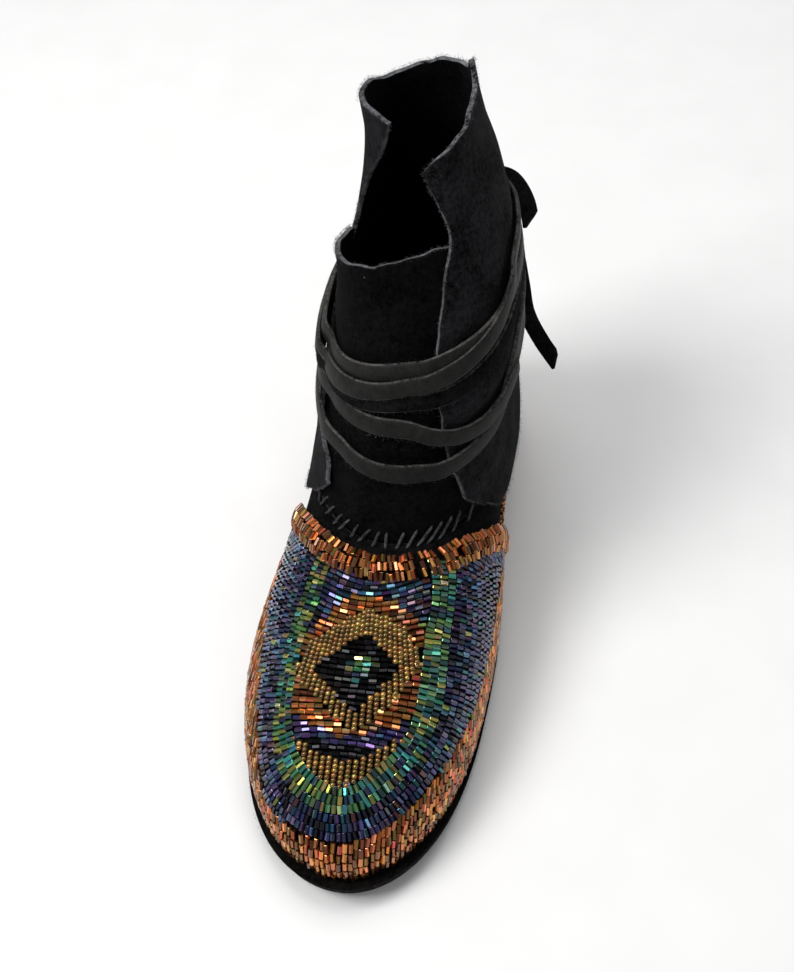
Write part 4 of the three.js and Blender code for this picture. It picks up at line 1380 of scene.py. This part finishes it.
@dataclass
class WoundTie:
    """The flat tie: five turns round the ankle, a knot and two free ends."""

    width: float = 6.5
    thick: float = 2.0
    gap: float = 0.5
    slant: float = 5.0
    most_stack: float = 2.0
    shaft_wall: float = 2.0
    flap_span: tuple[float, float] = (76.0, 190.0)
    ramp_degrees: float = 14.0
    ramp_lead: float = 1.3
    stations: tuple = (0, 90, 180, 235, 270)
    turns: tuple = (
        (117, 98, 92.5, 92, 107), (110, 104, 107.5, 98, 98), (102, 106, 115.5, 118, 121),
        (121, 114, 125.5, 129, 129), (127, 109.5, 120.5, 128, 137),
    )
    last_back: float = 126.0
    knot_centre: tuple[float, float, float] = (17.6, 119.4, 122.0)
    knot_radii: tuple[float, float, float] = (6.0, 4.2, 5.5)
    long_end: tuple = (
        (21.4, 118.9, 117.4), (29.5, 114.2, 107), (35, 106.3, 97), (38.5, 97.7, 86), (41.2, 91.3, 76),
        (47, 87.5, 65), (54.5, 84, 54.5),
    )
    short_end: tuple = (
        (24.7, 119.4, 123.6), (31.6, 113.4, 127.5), (37.2, 104.7, 130), (41.7, 95.5, 129.5), (44.2, 88, 125),
    )

    def __post_init__(self) -> None:
        """Readies the line of the turns."""
        rows = [(lap * 360 + angle, height) for lap, heights in enumerate(self.turns)
                for angle, height in zip(self.stations, heights)]
        self.height_at = Table(rows + [(len(self.turns) * 360, self.last_back)])

    def build_ends(self) -> None:
        knot = self._knot()
        for name, node, route, pieces in (
            ("tie_long_strip", "tie_end_long", self.long_end, [knot]),
            ("tie_short_strip", "tie_end_short", self.short_end, []),
        ):
            path = along_line(route, 40)
            strip = self._strip(name, path)
            Leather.STRAP_NAP.coat(strip)
            smooth_by_angle(strip, 50)
            settle(strip, "tie_leather", node)
            spots = metres(path)
            distances(spots)[-1]
            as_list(pieces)

    def _section(self, count: int = 12) -> Array:
        """Rounded flat section: shares across and through, from -0.5 to 0.5."""
        angle = np.linspace(0, 2 * np.pi, count, endpoint=False) + np.pi / count
        across = np.sign(np.cos(angle)) * np.abs(np.cos(angle)) ** 0.45 * 0.5
        through = np.sign(np.sin(angle)) * np.abs(np.sin(angle)) ** 0.7 * 0.5
        return np.stack([across, through], axis=1)

    def _strip(self, name: str, path: Array) -> bpy.types.Object:
        """A flat strip along a path, twisted from lying on the leg to facing forward, cut off at a slant.

        Args:
            name: Name of the piece.
            path: Millimetre points of its middle.

        Returns:
            The strip.
        """
        run = unit(np.gradient(path, axis=0))
        reach = distances(path)
        twist = smooth(1.7 * reach / reach[-1])[:, None]
        side = unit(np.cross(run, mix(np.array([0.5, 0.8, 0.25]), np.array([0.1, 0.62, -0.78]), twist)))
        flat = np.cross(side, run)
        section = self._section()
        cut = np.clip((reach - reach[-1] + self.slant) / self.slant, 0, 1)[:, None]
        across = np.minimum(section[None, :, 0], 0.5 - 0.8 * cut)[..., None]
        points = (path[:, None] + side[:, None] * (across * self.width)
                  + flat[:, None] * (section[None, :, 1:] * self.thick))
        return self._bar(name, points)

    @staticmethod
    def _bar(name: str, sections: Array) -> bpy.types.Object:
        """A closed bar through sections of shape (steps, sides, 3)."""
        steps, sides, _ = sections.shape
        start = np.arange((steps - 1) * sides).reshape(steps - 1, sides)
        beside = np.roll(start, -1, axis=1)
        quads = np.stack([start, beside, beside + sides, start + sides], axis=-1).reshape(-1, 4)
        caps = np.stack([np.arange(sides)[::-1], np.arange(sides) + (steps - 1) * sides])
        bar = mesh_piece(name, sections.reshape(-1, 3), [quads, caps])
        turn_faces_out(bar)
        return bar

    def _knot(self) -> bpy.types.Object:
        """A flat overhand knot: crossed bands round a small core, pulled into one soft lump."""
        centre = metres(np.array(self.knot_centre))
        radii = np.array(self.knot_radii) * MM
        bands = []
        for turn in ((0.3, 0.2, 0.0), (1.2, 0.5, 0.4), (-0.9, 0.3, 1.1)):
            deselect()
            bpy.ops.mesh.primitive_torus_add(
                major_segments=28, minor_segments=10, major_radius=0.66, minor_radius=0.33, rotation=turn)
            bands.append(bpy.context.object)
        deselect()
        bpy.ops.mesh.primitive_uv_sphere_add(segments=20, ring_count=12, radius=0.62)
        bands.append(bpy.context.object)
        knot = join(bands, "tie_knot_lump")
        activate(knot)
        bpy.ops.object.transform_apply(location=True, rotation=True, scale=True)
        knot.data.transform(Matrix.Translation(Vector(centre)) @ Matrix.Diagonal((*radii, 1.0)))
        apply_modifier(knot, "REMESH", mode="VOXEL", voxel_size=0.0004)
        apply_modifier(knot, "SMOOTH", factor=0.5, iterations=2)
        Leather.STRAP_NAP.coat(knot)
        smooth_by_angle(knot, 60)
        settle(knot, "tie_leather", "tie_knot")
        return knot

    def _lift(self, turn: Array, height: Array) -> Array:
        """How far the tie lies off the leg: on the tongue at the front, on the flaps elsewhere."""
        low, high = self.flap_span
        rise = np.clip((height - low) / (high - low), 0, 1)
        place = np.mod(turn, 360.0)
        signed = np.where(place > 180, place - 360, place)
        right = (signed - Table(Shaft.FLAPS, 1)(rise)) / self.ramp_degrees + self.ramp_lead
        left = (-signed - Table(Shaft.FLAPS, 2)(rise)) / self.ramp_degrees + self.ramp_lead
        on_flap = smooth(np.maximum(right, left))
        return self.gap + on_flap * (FORM.LAYER_GAP + self.shaft_wall)

    def _stack(self, angle: Array) -> Array:
        """Extra lift where a later turn crosses over earlier ones."""
        lift = np.zeros_like(angle)
        lap = np.floor(angle / 360.0)
        for below in range(1, len(self.turns)):
            earlier = angle - 360.0 * below
            apart = np.abs(self.height_at(angle) - self.height_at(np.maximum(earlier, 0)))
            over = smooth((self.width * 1.12 - apart) / (self.width * 0.42))
            lift += np.where(lap >= below, over, 0.0) * self.thick * (0.95 if below < 3 else 0.6)
        return self.most_stack * (1 - np.exp(-lift / self.most_stack))

    def build_turns(self, fuzz: "Fuzz") -> None:
        """Makes the wound turns, and leaves fibres on their cut edges."""
        angle = np.linspace(0, 360 * len(self.turns), 181 * len(self.turns))
        height = self.height_at(angle)
        turn = 180 + angle
        lift = self._lift(turn, height) + self._stack(angle)
        waver = Wobble(5, (9.0, 14.0, 23.0))(angle / 1800)
        seat = FORM.leg_at(turn, height, lift + self.thick / 2)
        out = FORM.leg_out(turn, height)
        run = unit(np.gradient(seat, axis=0))
        tip = 0.10 * waver[:, None]
        side = unit(np.cross(out, run))
        side, flat = unit(side + out * tip), unit(out - side * tip)
        wide = self.width * (1 + 0.05 * Wobble(8, (17.0, 31.0))(angle / 1800))
        section = self._section(14)
        points = (seat[:, None] + side[:, None] * (section[None, :, :1] * wide[:, None, None])
                  + flat[:, None] * (section[None, :, 1:] * self.thick))
        tie = self._bar("tie_turns", points)
        for leather in (Leather.STRAP, Leather.STRAP_NAP, Leather.STRAP_EDGE):
            leather.coat(tie)
        lap = np.floor(angle[:-1] / 360)[:, None]
        faces = np.broadcast_to(np.where(lap == 2, 1, 0), (len(lap), len(section))).copy()
        faces[:, [0, 5, 6, 13]] = 2
        finish = np.zeros(len(tie.data.polygons), np.int32)
        finish[:faces.size] = faces.ravel()
        tie.data.polygons.foreach_set("material_index", finish)
        smooth_by_angle(tie, 50)
        settle(tie, "tie_leather", "wrap_thong")
        for hand in (-1, 1):
            edge = seat + side * (hand * wide / 2)[:, None] + flat * self.thick * 0.3
            fuzz.along(edge, side * hand + flat * 0.4, 4.0, 0.4)


@dataclass
class Sole:
    """Thin outsole with a rounded edge, and the footbed inside."""

    columns: int = 18
    rows: int = 150
    rounding: float = 1.1

    def _face(self, inset: float, height: Callable[[Array], Array]) -> Place:
        """A face of the sole, between its two sides."""
        def place(across: Array, up: Array) -> Array:
            """Points of the face."""
            share = 0.004 + 0.992 * up
            inner = FORM.inset_loop(share, inset)
            outer = FORM.inset_loop(2 - share, inset)
            plan = outer + (inner - outer) * across[:, None]
            return np.concatenate([plan, height(plan[:, 1])[:, None]], axis=1)
        return place

    def build(self, fuzz: "Fuzz") -> None:
        """Makes the outsole, dresses both and leaves fibres on the sole's edge."""
        top = grid_sheet("outsole_slab", self.columns, self.rows, self._face(0.0, FORM.sole_top))
        bottom = grid_sheet("outsole_low", self.columns, self.rows,
                            self._face(FORM.SOLE_INSET_BELOW, FORM.sole_bottom))
        slab = join([top, bottom], "outsole_slab")
        activate(slab)
        bpy.ops.object.mode_set(mode="EDIT")
        bpy.ops.mesh.select_mode(type="EDGE")
        bpy.ops.mesh.select_all(action="DESELECT")
        bpy.ops.mesh.select_non_manifold()
        bpy.ops.mesh.bridge_edge_loops()
        bpy.ops.object.mode_set(mode="OBJECT")
        turn_faces_out(slab)
        apply_modifier(slab, "BEVEL", width=self.rounding * MM, segments=3, limit_method="ANGLE",
                       angle_limit=np.radians(50), loop_slide=False)
        Leather.SOLE.coat(slab)
        smooth_by_angle(slab, 45)
        settle(slab, "sole", "outsole")
        footbed = bpy.data.objects["insole"]
        footbed.data.materials.clear()
        Leather.FOOTBED.coat(footbed)
        loop = np.linspace(0, 2, 400)
        rim, rise = FORM.loop_point(loop), np.full((len(loop), 1), 0.3)
        edge = np.concatenate([rim, FORM.sole_top(rim[:, 1])[:, None] - 0.8], axis=1)
        fuzz.along(edge, np.concatenate([FORM.loop_normal(loop), rise], axis=1), 4.0, 0.4)


@dataclass
class Upper:
    """Suede upper with a true hollow wall."""

    columns: int = 240
    rows: int = 56
    wall: float = 2.2
    edge_round: float = 0.5
    creases: tuple[Crease, ...] = (
        Crease((62, 100), (44, 30), 5, 0.8), Crease((66, 96), (30, 22), 4, 0.5),
        Crease((-64, -100), (44, 32), 5, 0.8), Crease((-70, -104), (30, 24), 4, 0.5),
        Crease((150, 205), (40, 38), 6, 0.6),
    )

    def build(self) -> None:
        """Makes and dresses the upper."""
        def place(across: Array, up: Array) -> Array:
            """Points of the outer face."""
            turn = FORM.column_turn(across)
            spot = FORM.upper_point(turn, up)
            push = sum(crease.at(turn, spot[:, 2]) for crease in self.creases)
            fade = smooth(np.minimum(up, 1 - up) * 8)
            return spot - FORM.upper_out(turn, up) * (push * fade)[:, None]

        upper = grid_sheet("upper_shell", self.columns, self.rows, place, closed=True)
        Leather.SUEDE.cut(upper, self.wall, self.edge_round, "upper_suede", "upper")


@dataclass
class Fuzz:
    """Loose fibres along cut edges, joined into one piece."""

    chance: np.random.Generator = field(default_factory=lambda: np.random.default_rng(SEED + 1))
    points: list[Array] = field(default_factory=list)
    half_width: float = 0.045
    stray: float = 0.35
    bend: float = 0.45

    def along(self, edge: Array, out: Array, per_mm: float, length: float, spread: float = 0.7) -> None:
        """Fibres along an edge.

        Args:
            edge: Millimetre points of the edge.
            out: Direction off the edge at each point.
            per_mm: Fibres per millimetre.
            length: Their usual length.
            spread: How far they scatter from the direction.
        """
        reach = distances(edge)
        count = int(reach[-1] * per_mm)
        want = self.chance.uniform(0, reach[-1], count)
        root = sample(want, reach, edge)
        root += self.chance.normal(0, self.stray, root.shape)
        lean = sample(want, reach, out)
        lean = unit(unit(lean) + self.chance.normal(0, spread, lean.shape))
        bend = self.chance.normal(0, self.bend, lean.shape)
        size = (length * self.chance.gamma(3.0, 1 / 3.0, count))[:, None]
        width = unit(np.cross(lean, self.chance.normal(0, 1, lean.shape))) * self.half_width
        middle = root + lean * size * 0.5
        tip = root + unit(lean + bend) * size
        corners = [root - width, root + width, middle + width, middle - width, tip]
        self.points.append(np.stack(corners, axis=1))

    def build(self) -> None:
        """Joins all fibres."""
        strands = np.concatenate(self.points)
        start = np.arange(len(strands))[:, None] * 5
        quads, tips = start + np.array([[0, 1, 2, 3]]), start + np.array([[3, 2, 4]])
        piece = mesh_piece("loose_fibres", strands.reshape(-1, 3), [tips, quads])
        Leather.FIBRE.coat(piece)
        settle(piece, "shaft_leather")


def bulge(tie: WoundTie, turn: Array, height: Array) -> Array:
    """How far soft leather swells out between the turns of the tie.

    Args:
        tie: The wound tie.
        turn: Degrees from the front.
        height: Height over the floor.

    Returns:
        Swell in millimetres, none under a turn.
    """
    back = np.mod(turn - 180.0, 360.0)
    near = np.full(np.shape(turn), 99.0)
    above = np.zeros(np.shape(turn), bool)
    below = np.zeros(np.shape(turn), bool)
    for lap in range(len(tie.turns)):
        apart = height - tie.height_at(back + 360.0 * lap)
        near = np.minimum(near, np.abs(apart))
        above |= apart < 0
        below |= apart > 0
    between = smooth((near - tie.width * 0.55) / 4.0)
    return np.where(above & below, 1.3, 0.9 * np.exp(-np.maximum(near - 7.0, 0) / 12.0)) * between


@dataclass
class Tongue:
    """Napped tongue that stands up from the throat seam, with the whip stitches along the seam."""

    columns: int = 130
    rows: int = 90
    wall: float = 2.0
    edge_round: float = 0.55
    sides: tuple = ((54, 62, 62, 0), (100, 60, 82, 0), (126, 58, 93, 0), (160, 56, 100, 4))
    slack_middle: float = -62.0
    slack_half: float = 40.0
    top: tuple = ((-100, 136), (-86, 142), (-70, 147), (-46, 152), (-12, 158), (24, 162), (60, 160))
    creases: tuple[Crease, ...] = (
        Crease((-45, 18), (88, 84), 4, 0.9), Crease((-30, 30), (76, 74), 3.5, 0.6),
        Crease((-66, -20), (100, 98), 4, 0.7), Crease((-20, 15), (140, 137), 7, 0.5),
        Crease((-70, -66), (70, 96), 5, 0.7),
    )
    stitch_turns: tuple[float, float] = (-54.0, 48.0)
    stitches: int = 16
    stitch_thick: float = 1.15

    def at(self, tie: WoundTie) -> Place:
        """The outer face's points for shares across and up."""
        right, left, slack = (Table(self.sides, i) for i in (1, 2, 3))
        top, waver = Table(self.top), Wobble(3, (2.0, 5.0, 8.0))

        def place(across: Array, up: Array) -> Array:
            """Points of the outer face."""
            nominal = mix(self.sides[0][0], self.sides[-1][0], up)
            angle = mix(-left(nominal), right(nominal), across)
            seam = FORM.wall["top"](FORM.fold(angle)) + FORM.LAYER_GAP
            rim = top(angle) + 0.35 * waver(across)
            height = mix(seam, rim, up)
            from_slack = np.clip((angle - self.slack_middle) / self.slack_half, -1, 1)
            offset = slack(height) * np.cos(from_slack * np.pi / 2) ** 2
            push = sum(crease.at(angle, height) for crease in self.creases)
            free = smooth(up * 9) * smooth((1 - up) * 6)
            swell = (bulge(tie, angle, height) * 0.8 - push) * free
            lip = 0.9 * smooth((up - 0.93) / 0.07) * smooth(1 - np.abs(across - 0.55) * 1.6)
            return FORM.ankle_at(angle, height, offset + swell + lip)

        return place

    def build(self, tie: WoundTie, fuzz: Fuzz) -> None:
        """Makes and dresses the tongue and its stitches, and leaves fibres on its rim."""
        place = self.at(tie)
        tongue = grid_sheet("tongue_sheet", self.columns, self.rows, place)
        Leather.TONGUE.cut(tongue, self.wall, self.edge_round, "tongue_suede", "tongue")
        across = np.linspace(0, 1, 200)
        rim = place(across, np.ones_like(across))
        inward = unit(rim - place(across, np.full_like(across, 0.97)))
        fuzz.along(rim, inward, 16.0, 0.55)
        self._stitches()

    def _stitches(self) -> None:
        """Whip stitches from the upper over the seam to the tongue."""
        chance = np.random.default_rng(SEED + 2)
        bars = []
        for turn in np.linspace(*self.stitch_turns, self.stitches):
            turn = turn + chance.normal(0, 0.7)
            slant = chance.normal(2.4, 1.4)
            share = np.linspace(-1, 1, 9)
            at = turn + slant * share
            seam = FORM.wall["top"](FORM.fold(at))
            rise = 3.0 * share + 0.6
            level = FORM.level_below(at, np.maximum(-rise, 0.1))
            low = FORM.upper_at(at, level, 0.25)
            high = FORM.ankle_at(at, seam + FORM.LAYER_GAP + np.maximum(rise, 0), np.full(9, 0.25))
            hump = 0.4 * (1 - share ** 2) - 0.5 * share ** 6
            out = FORM.leg_out(at, seam + 1.0)
            line = np.where((rise < 0)[:, None], low, high) + out * hump[:, None]
            run = unit(np.gradient(line, axis=0))
            side = unit(np.cross(out, run))
            angle = np.linspace(0, 2 * np.pi, 6, endpoint=False)
            radius = self.stitch_thick / 2 * np.sqrt(np.maximum(1 - share ** 8, 0.05))
            ring = side[:, None] * np.cos(angle)[None, :, None] + out[:, None] * np.sin(angle)[None, :, None]
            bars.append(WoundTie._bar("stitch", line[:, None] + ring * radius[:, None, None]))
        seam = join(bars, "throat_stitches")
        Leather.THREAD.coat(seam)
        smooth_by_angle(seam, 60)
        settle(seam, "tongue_suede")


@dataclass
class Shaft:
    """Wrap-around shaft whose flaps cross the tongue's sides, with raw cut edges."""

    FLAPS = (
        (0, 40, 37, 0, 0), (0.15, 31, 50, 0, 0), (0.3, 25, 70, 0, 0), (0.48, 22, 92, 0, 0),
        (0.65, 27, 105, 0, 3), (0.8, 35, 98, 0, 7), (0.9, 30, 86, 2, 11), (1, 23, 70, 5, 14),
    )
    LOW = ((36, 79), (45, 71), (55, 62), (66, 52), (80, 47), (180, 52))
    HIGH = (
        (16, 182), (30, 187), (60, 190), (105, 191), (122, 195), (138, 188), (180, 185), (215, 182),
        (245, 187), (296, 190),
    )

    columns: int = 220
    rows: int = 96
    wall: float = 2.0
    edge_round: float = 0.55
    tuck_share: float = 0.17
    creases: tuple[Crease, ...] = (
        Crease((60, 52), (180, 130), 6, 1.0), Crease((88, 80), (186, 120), 7, 0.8),
        Crease((120, 112), (182, 140), 6, 0.8), Crease((200, 206), (178, 130), 7, 0.9),
        Crease((240, 250), (182, 120), 7, 0.9), Crease((275, 262), (176, 128), 6, 0.8),
        Crease((70, 120), (84, 74), 5, 0.9), Crease((150, 215), (84, 80), 6, 0.9),
        Crease((235, 290), (78, 86), 5, 1.0), Crease((285, 318), (70, 78), 4, 0.6),
        Crease((45, 75), (92, 80), 5, 0.7),
    )

    def at(self, tie: WoundTie) -> Place:
        """The outer face's points for shares across and up."""
        right, left, tuck_right, tuck_left = (Table(self.FLAPS, i) for i in (1, 2, 3, 4))
        low, high = Table(self.LOW), Table(self.HIGH)
        top_waver, side_waver = Wobble(21, (3.0, 7.0, 12.0)), Wobble(22, (2.0, 5.0, 8.0))

        def place(across: Array, up: Array) -> Array:
            """Points of the outer face."""
            ragged = 0.6 * side_waver(up)
            turn = mix(right(up) + ragged * smooth(1 - across * 8),
                       360 - left(up) - ragged * smooth(1 - (1 - across) * 8), across)
            head = high(turn) + 0.4 * top_waver(across)
            foot = low(FORM.fold(turn)) + 0.4 * top_waver(across + 0.37)
            height = mix(foot, head, up)
            near_right = np.maximum(0, 1 - across / self.tuck_share) ** 2
            near_left = np.maximum(0, 1 - (1 - across) / self.tuck_share) ** 2
            tuck = near_right * tuck_right(up) + near_left * tuck_left(up)
            push = sum(crease.at(turn, height) for crease in self.creases)
            free = smooth(up * 6)
            swell = (bulge(tie, turn, height) - push) * free
            corner = smooth(1 - across * 14) + smooth(1 - (1 - across) * 14)
            curl = 1.6 * smooth((0.10 - up) / 0.10) * corner
            offset = FORM.LAYER_GAP + self.wall - tuck + np.maximum(swell, -0.35) + curl
            return FORM.leg_at(turn, height, offset)

        return place

    def build(self, tie: WoundTie, fuzz: Fuzz) -> None:
        """Makes and dresses the shaft, and leaves fibres on its edges."""
        place = self.at(tie)
        shaft = grid_sheet("shaft_wrap", self.columns, self.rows, place)
        Leather.SHAFT.cut(shaft, self.wall, self.edge_round, "shaft_leather", "shaft")
        share = np.linspace(0, 1, 260)
        one, inside = np.ones_like(share), np.full_like(share, 0.97)
        edges = (
            (place(share, one), place(share, inside)),
            (place(share, one * 0), place(share, one - inside)),
            (place(one * 0, share), place(one - inside, share)),
            (place(one, share), place(inside, share)),
        )
        for edge, within in edges:
            fuzz.along(edge, unit(edge - within), 15.0, 0.55)


@dataclass
class Studio:
    """Camera, floor and soft light."""

    camera_at: tuple[float, float, float] = (96.4, -295.2, 468.0)
    forward: tuple[float, float, float] = (-0.064, 0.612, -0.788)
    right: tuple[float, float, float] = (0.9945, 0.1045, 0.0)
    aim: tuple[float, float] = (-0.1225, -0.006)
    lens: float = 50.4
    floor_half: float = 4.0
    lights: tuple = (
        ("key", (-0.58, -0.25, 1.05), 0.55, 10.5), ("fill", (0.80, -0.60, 0.80), 0.35, 0.9),
        ("top", (0.05, 0.45, 1.30), 0.80, 8.0),
    )
    sky_strength: float = 0.34
    lit_spot: tuple[float, float, float] = (0.0, 0.0, 0.06)

    def place_camera(self) -> None:
        """Sets the camera where the view was taken from, turned to the boot's middle."""
        ahead = Vector(self.forward).normalized()
        right = Vector(self.right).normalized()
        up = right.cross(ahead)
        target = (ahead + right * self.aim[0] + up * self.aim[1]).normalized()
        turn = ahead.rotation_difference(target)
        axes = Matrix((turn @ right, turn @ up, -(turn @ ahead))).transposed()
        data = bpy.data.cameras.new("view")
        data.lens = self.lens
        data.clip_end = 50.0
        camera = bpy.data.objects.new("view", data)
        camera.matrix_world = Matrix.Translation(Vector(metres(np.array(self.camera_at)))) @ axes.to_4x4()
        bpy.context.scene.collection.objects.link(camera)
        bpy.context.scene.camera = camera

    def build(self) -> None:
        """Makes the floor, the lights and the pale surroundings."""
        deselect()
        bpy.ops.mesh.primitive_plane_add(size=2 * self.floor_half)
        floor = bpy.context.object
        floor.name = "floor"
        material, nodes, main = shader("pale_floor")
        cloth = nodes.add("ShaderNodeTexNoise")
        cloth.inputs["Scale"].default_value = 30.0
        nodes.link(nodes.add("ShaderNodeTexCoord").outputs["Object"], cloth.inputs["Vector"])
        colour = nodes.blend(cloth.outputs["Fac"], (0.78, 0.775, 0.765, 1), (0.84, 0.835, 0.825, 1))
        nodes.link(colour, main.inputs["Base Color"])
        main.inputs["Roughness"].default_value = 0.9
        floor.data.materials.append(material)
        for light in self.lights:
            self._light(*light)
        world = bpy.data.worlds.new("pale_room")
        world.use_nodes = True
        sky = world.node_tree.nodes["Background"]
        sky.inputs["Color"].default_value = (0.95, 0.97, 1.0, 1.0)
        sky.inputs["Strength"].default_value = self.sky_strength
        bpy.context.scene.world = world
        bpy.context.scene.view_settings.view_transform = "Standard"

    def _light(self, name: str, at: tuple[float, float, float], size: float, watts: float) -> None:
        """A square soft light turned to the boot."""
        data = bpy.data.lights.new(name, "AREA")
        data.size = size
        data.energy = watts
        light = bpy.data.objects.new(name, data)
        light.location = at
        light.rotation_mode = "QUATERNION"
        light.rotation_quaternion = (Vector(self.lit_spot) - Vector(at)).to_track_quat("-Z", "Y")
        bpy.context.scene.collection.objects.link(light)


def main() -> None:
    """Builds the boot piece by piece."""
    logging.basicConfig(level=logging.INFO, format="%(name)s: %(message)s")
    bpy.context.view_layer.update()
    studio = Studio()
    studio.place_camera()
    tie = WoundTie()
    tie.build_ends()
    fuzz = Fuzz()
    Sole().build(fuzz)
    Upper().build()
    Tongue().build(tie, fuzz)
    Shaft().build(tie, fuzz)
    tie.build_turns(fuzz)
    BeadWork().build()
    fuzz.build()
    studio.build()
    deselect()
    bpy.context.view_layer.update()


if __name__ == "__main__":
    main()
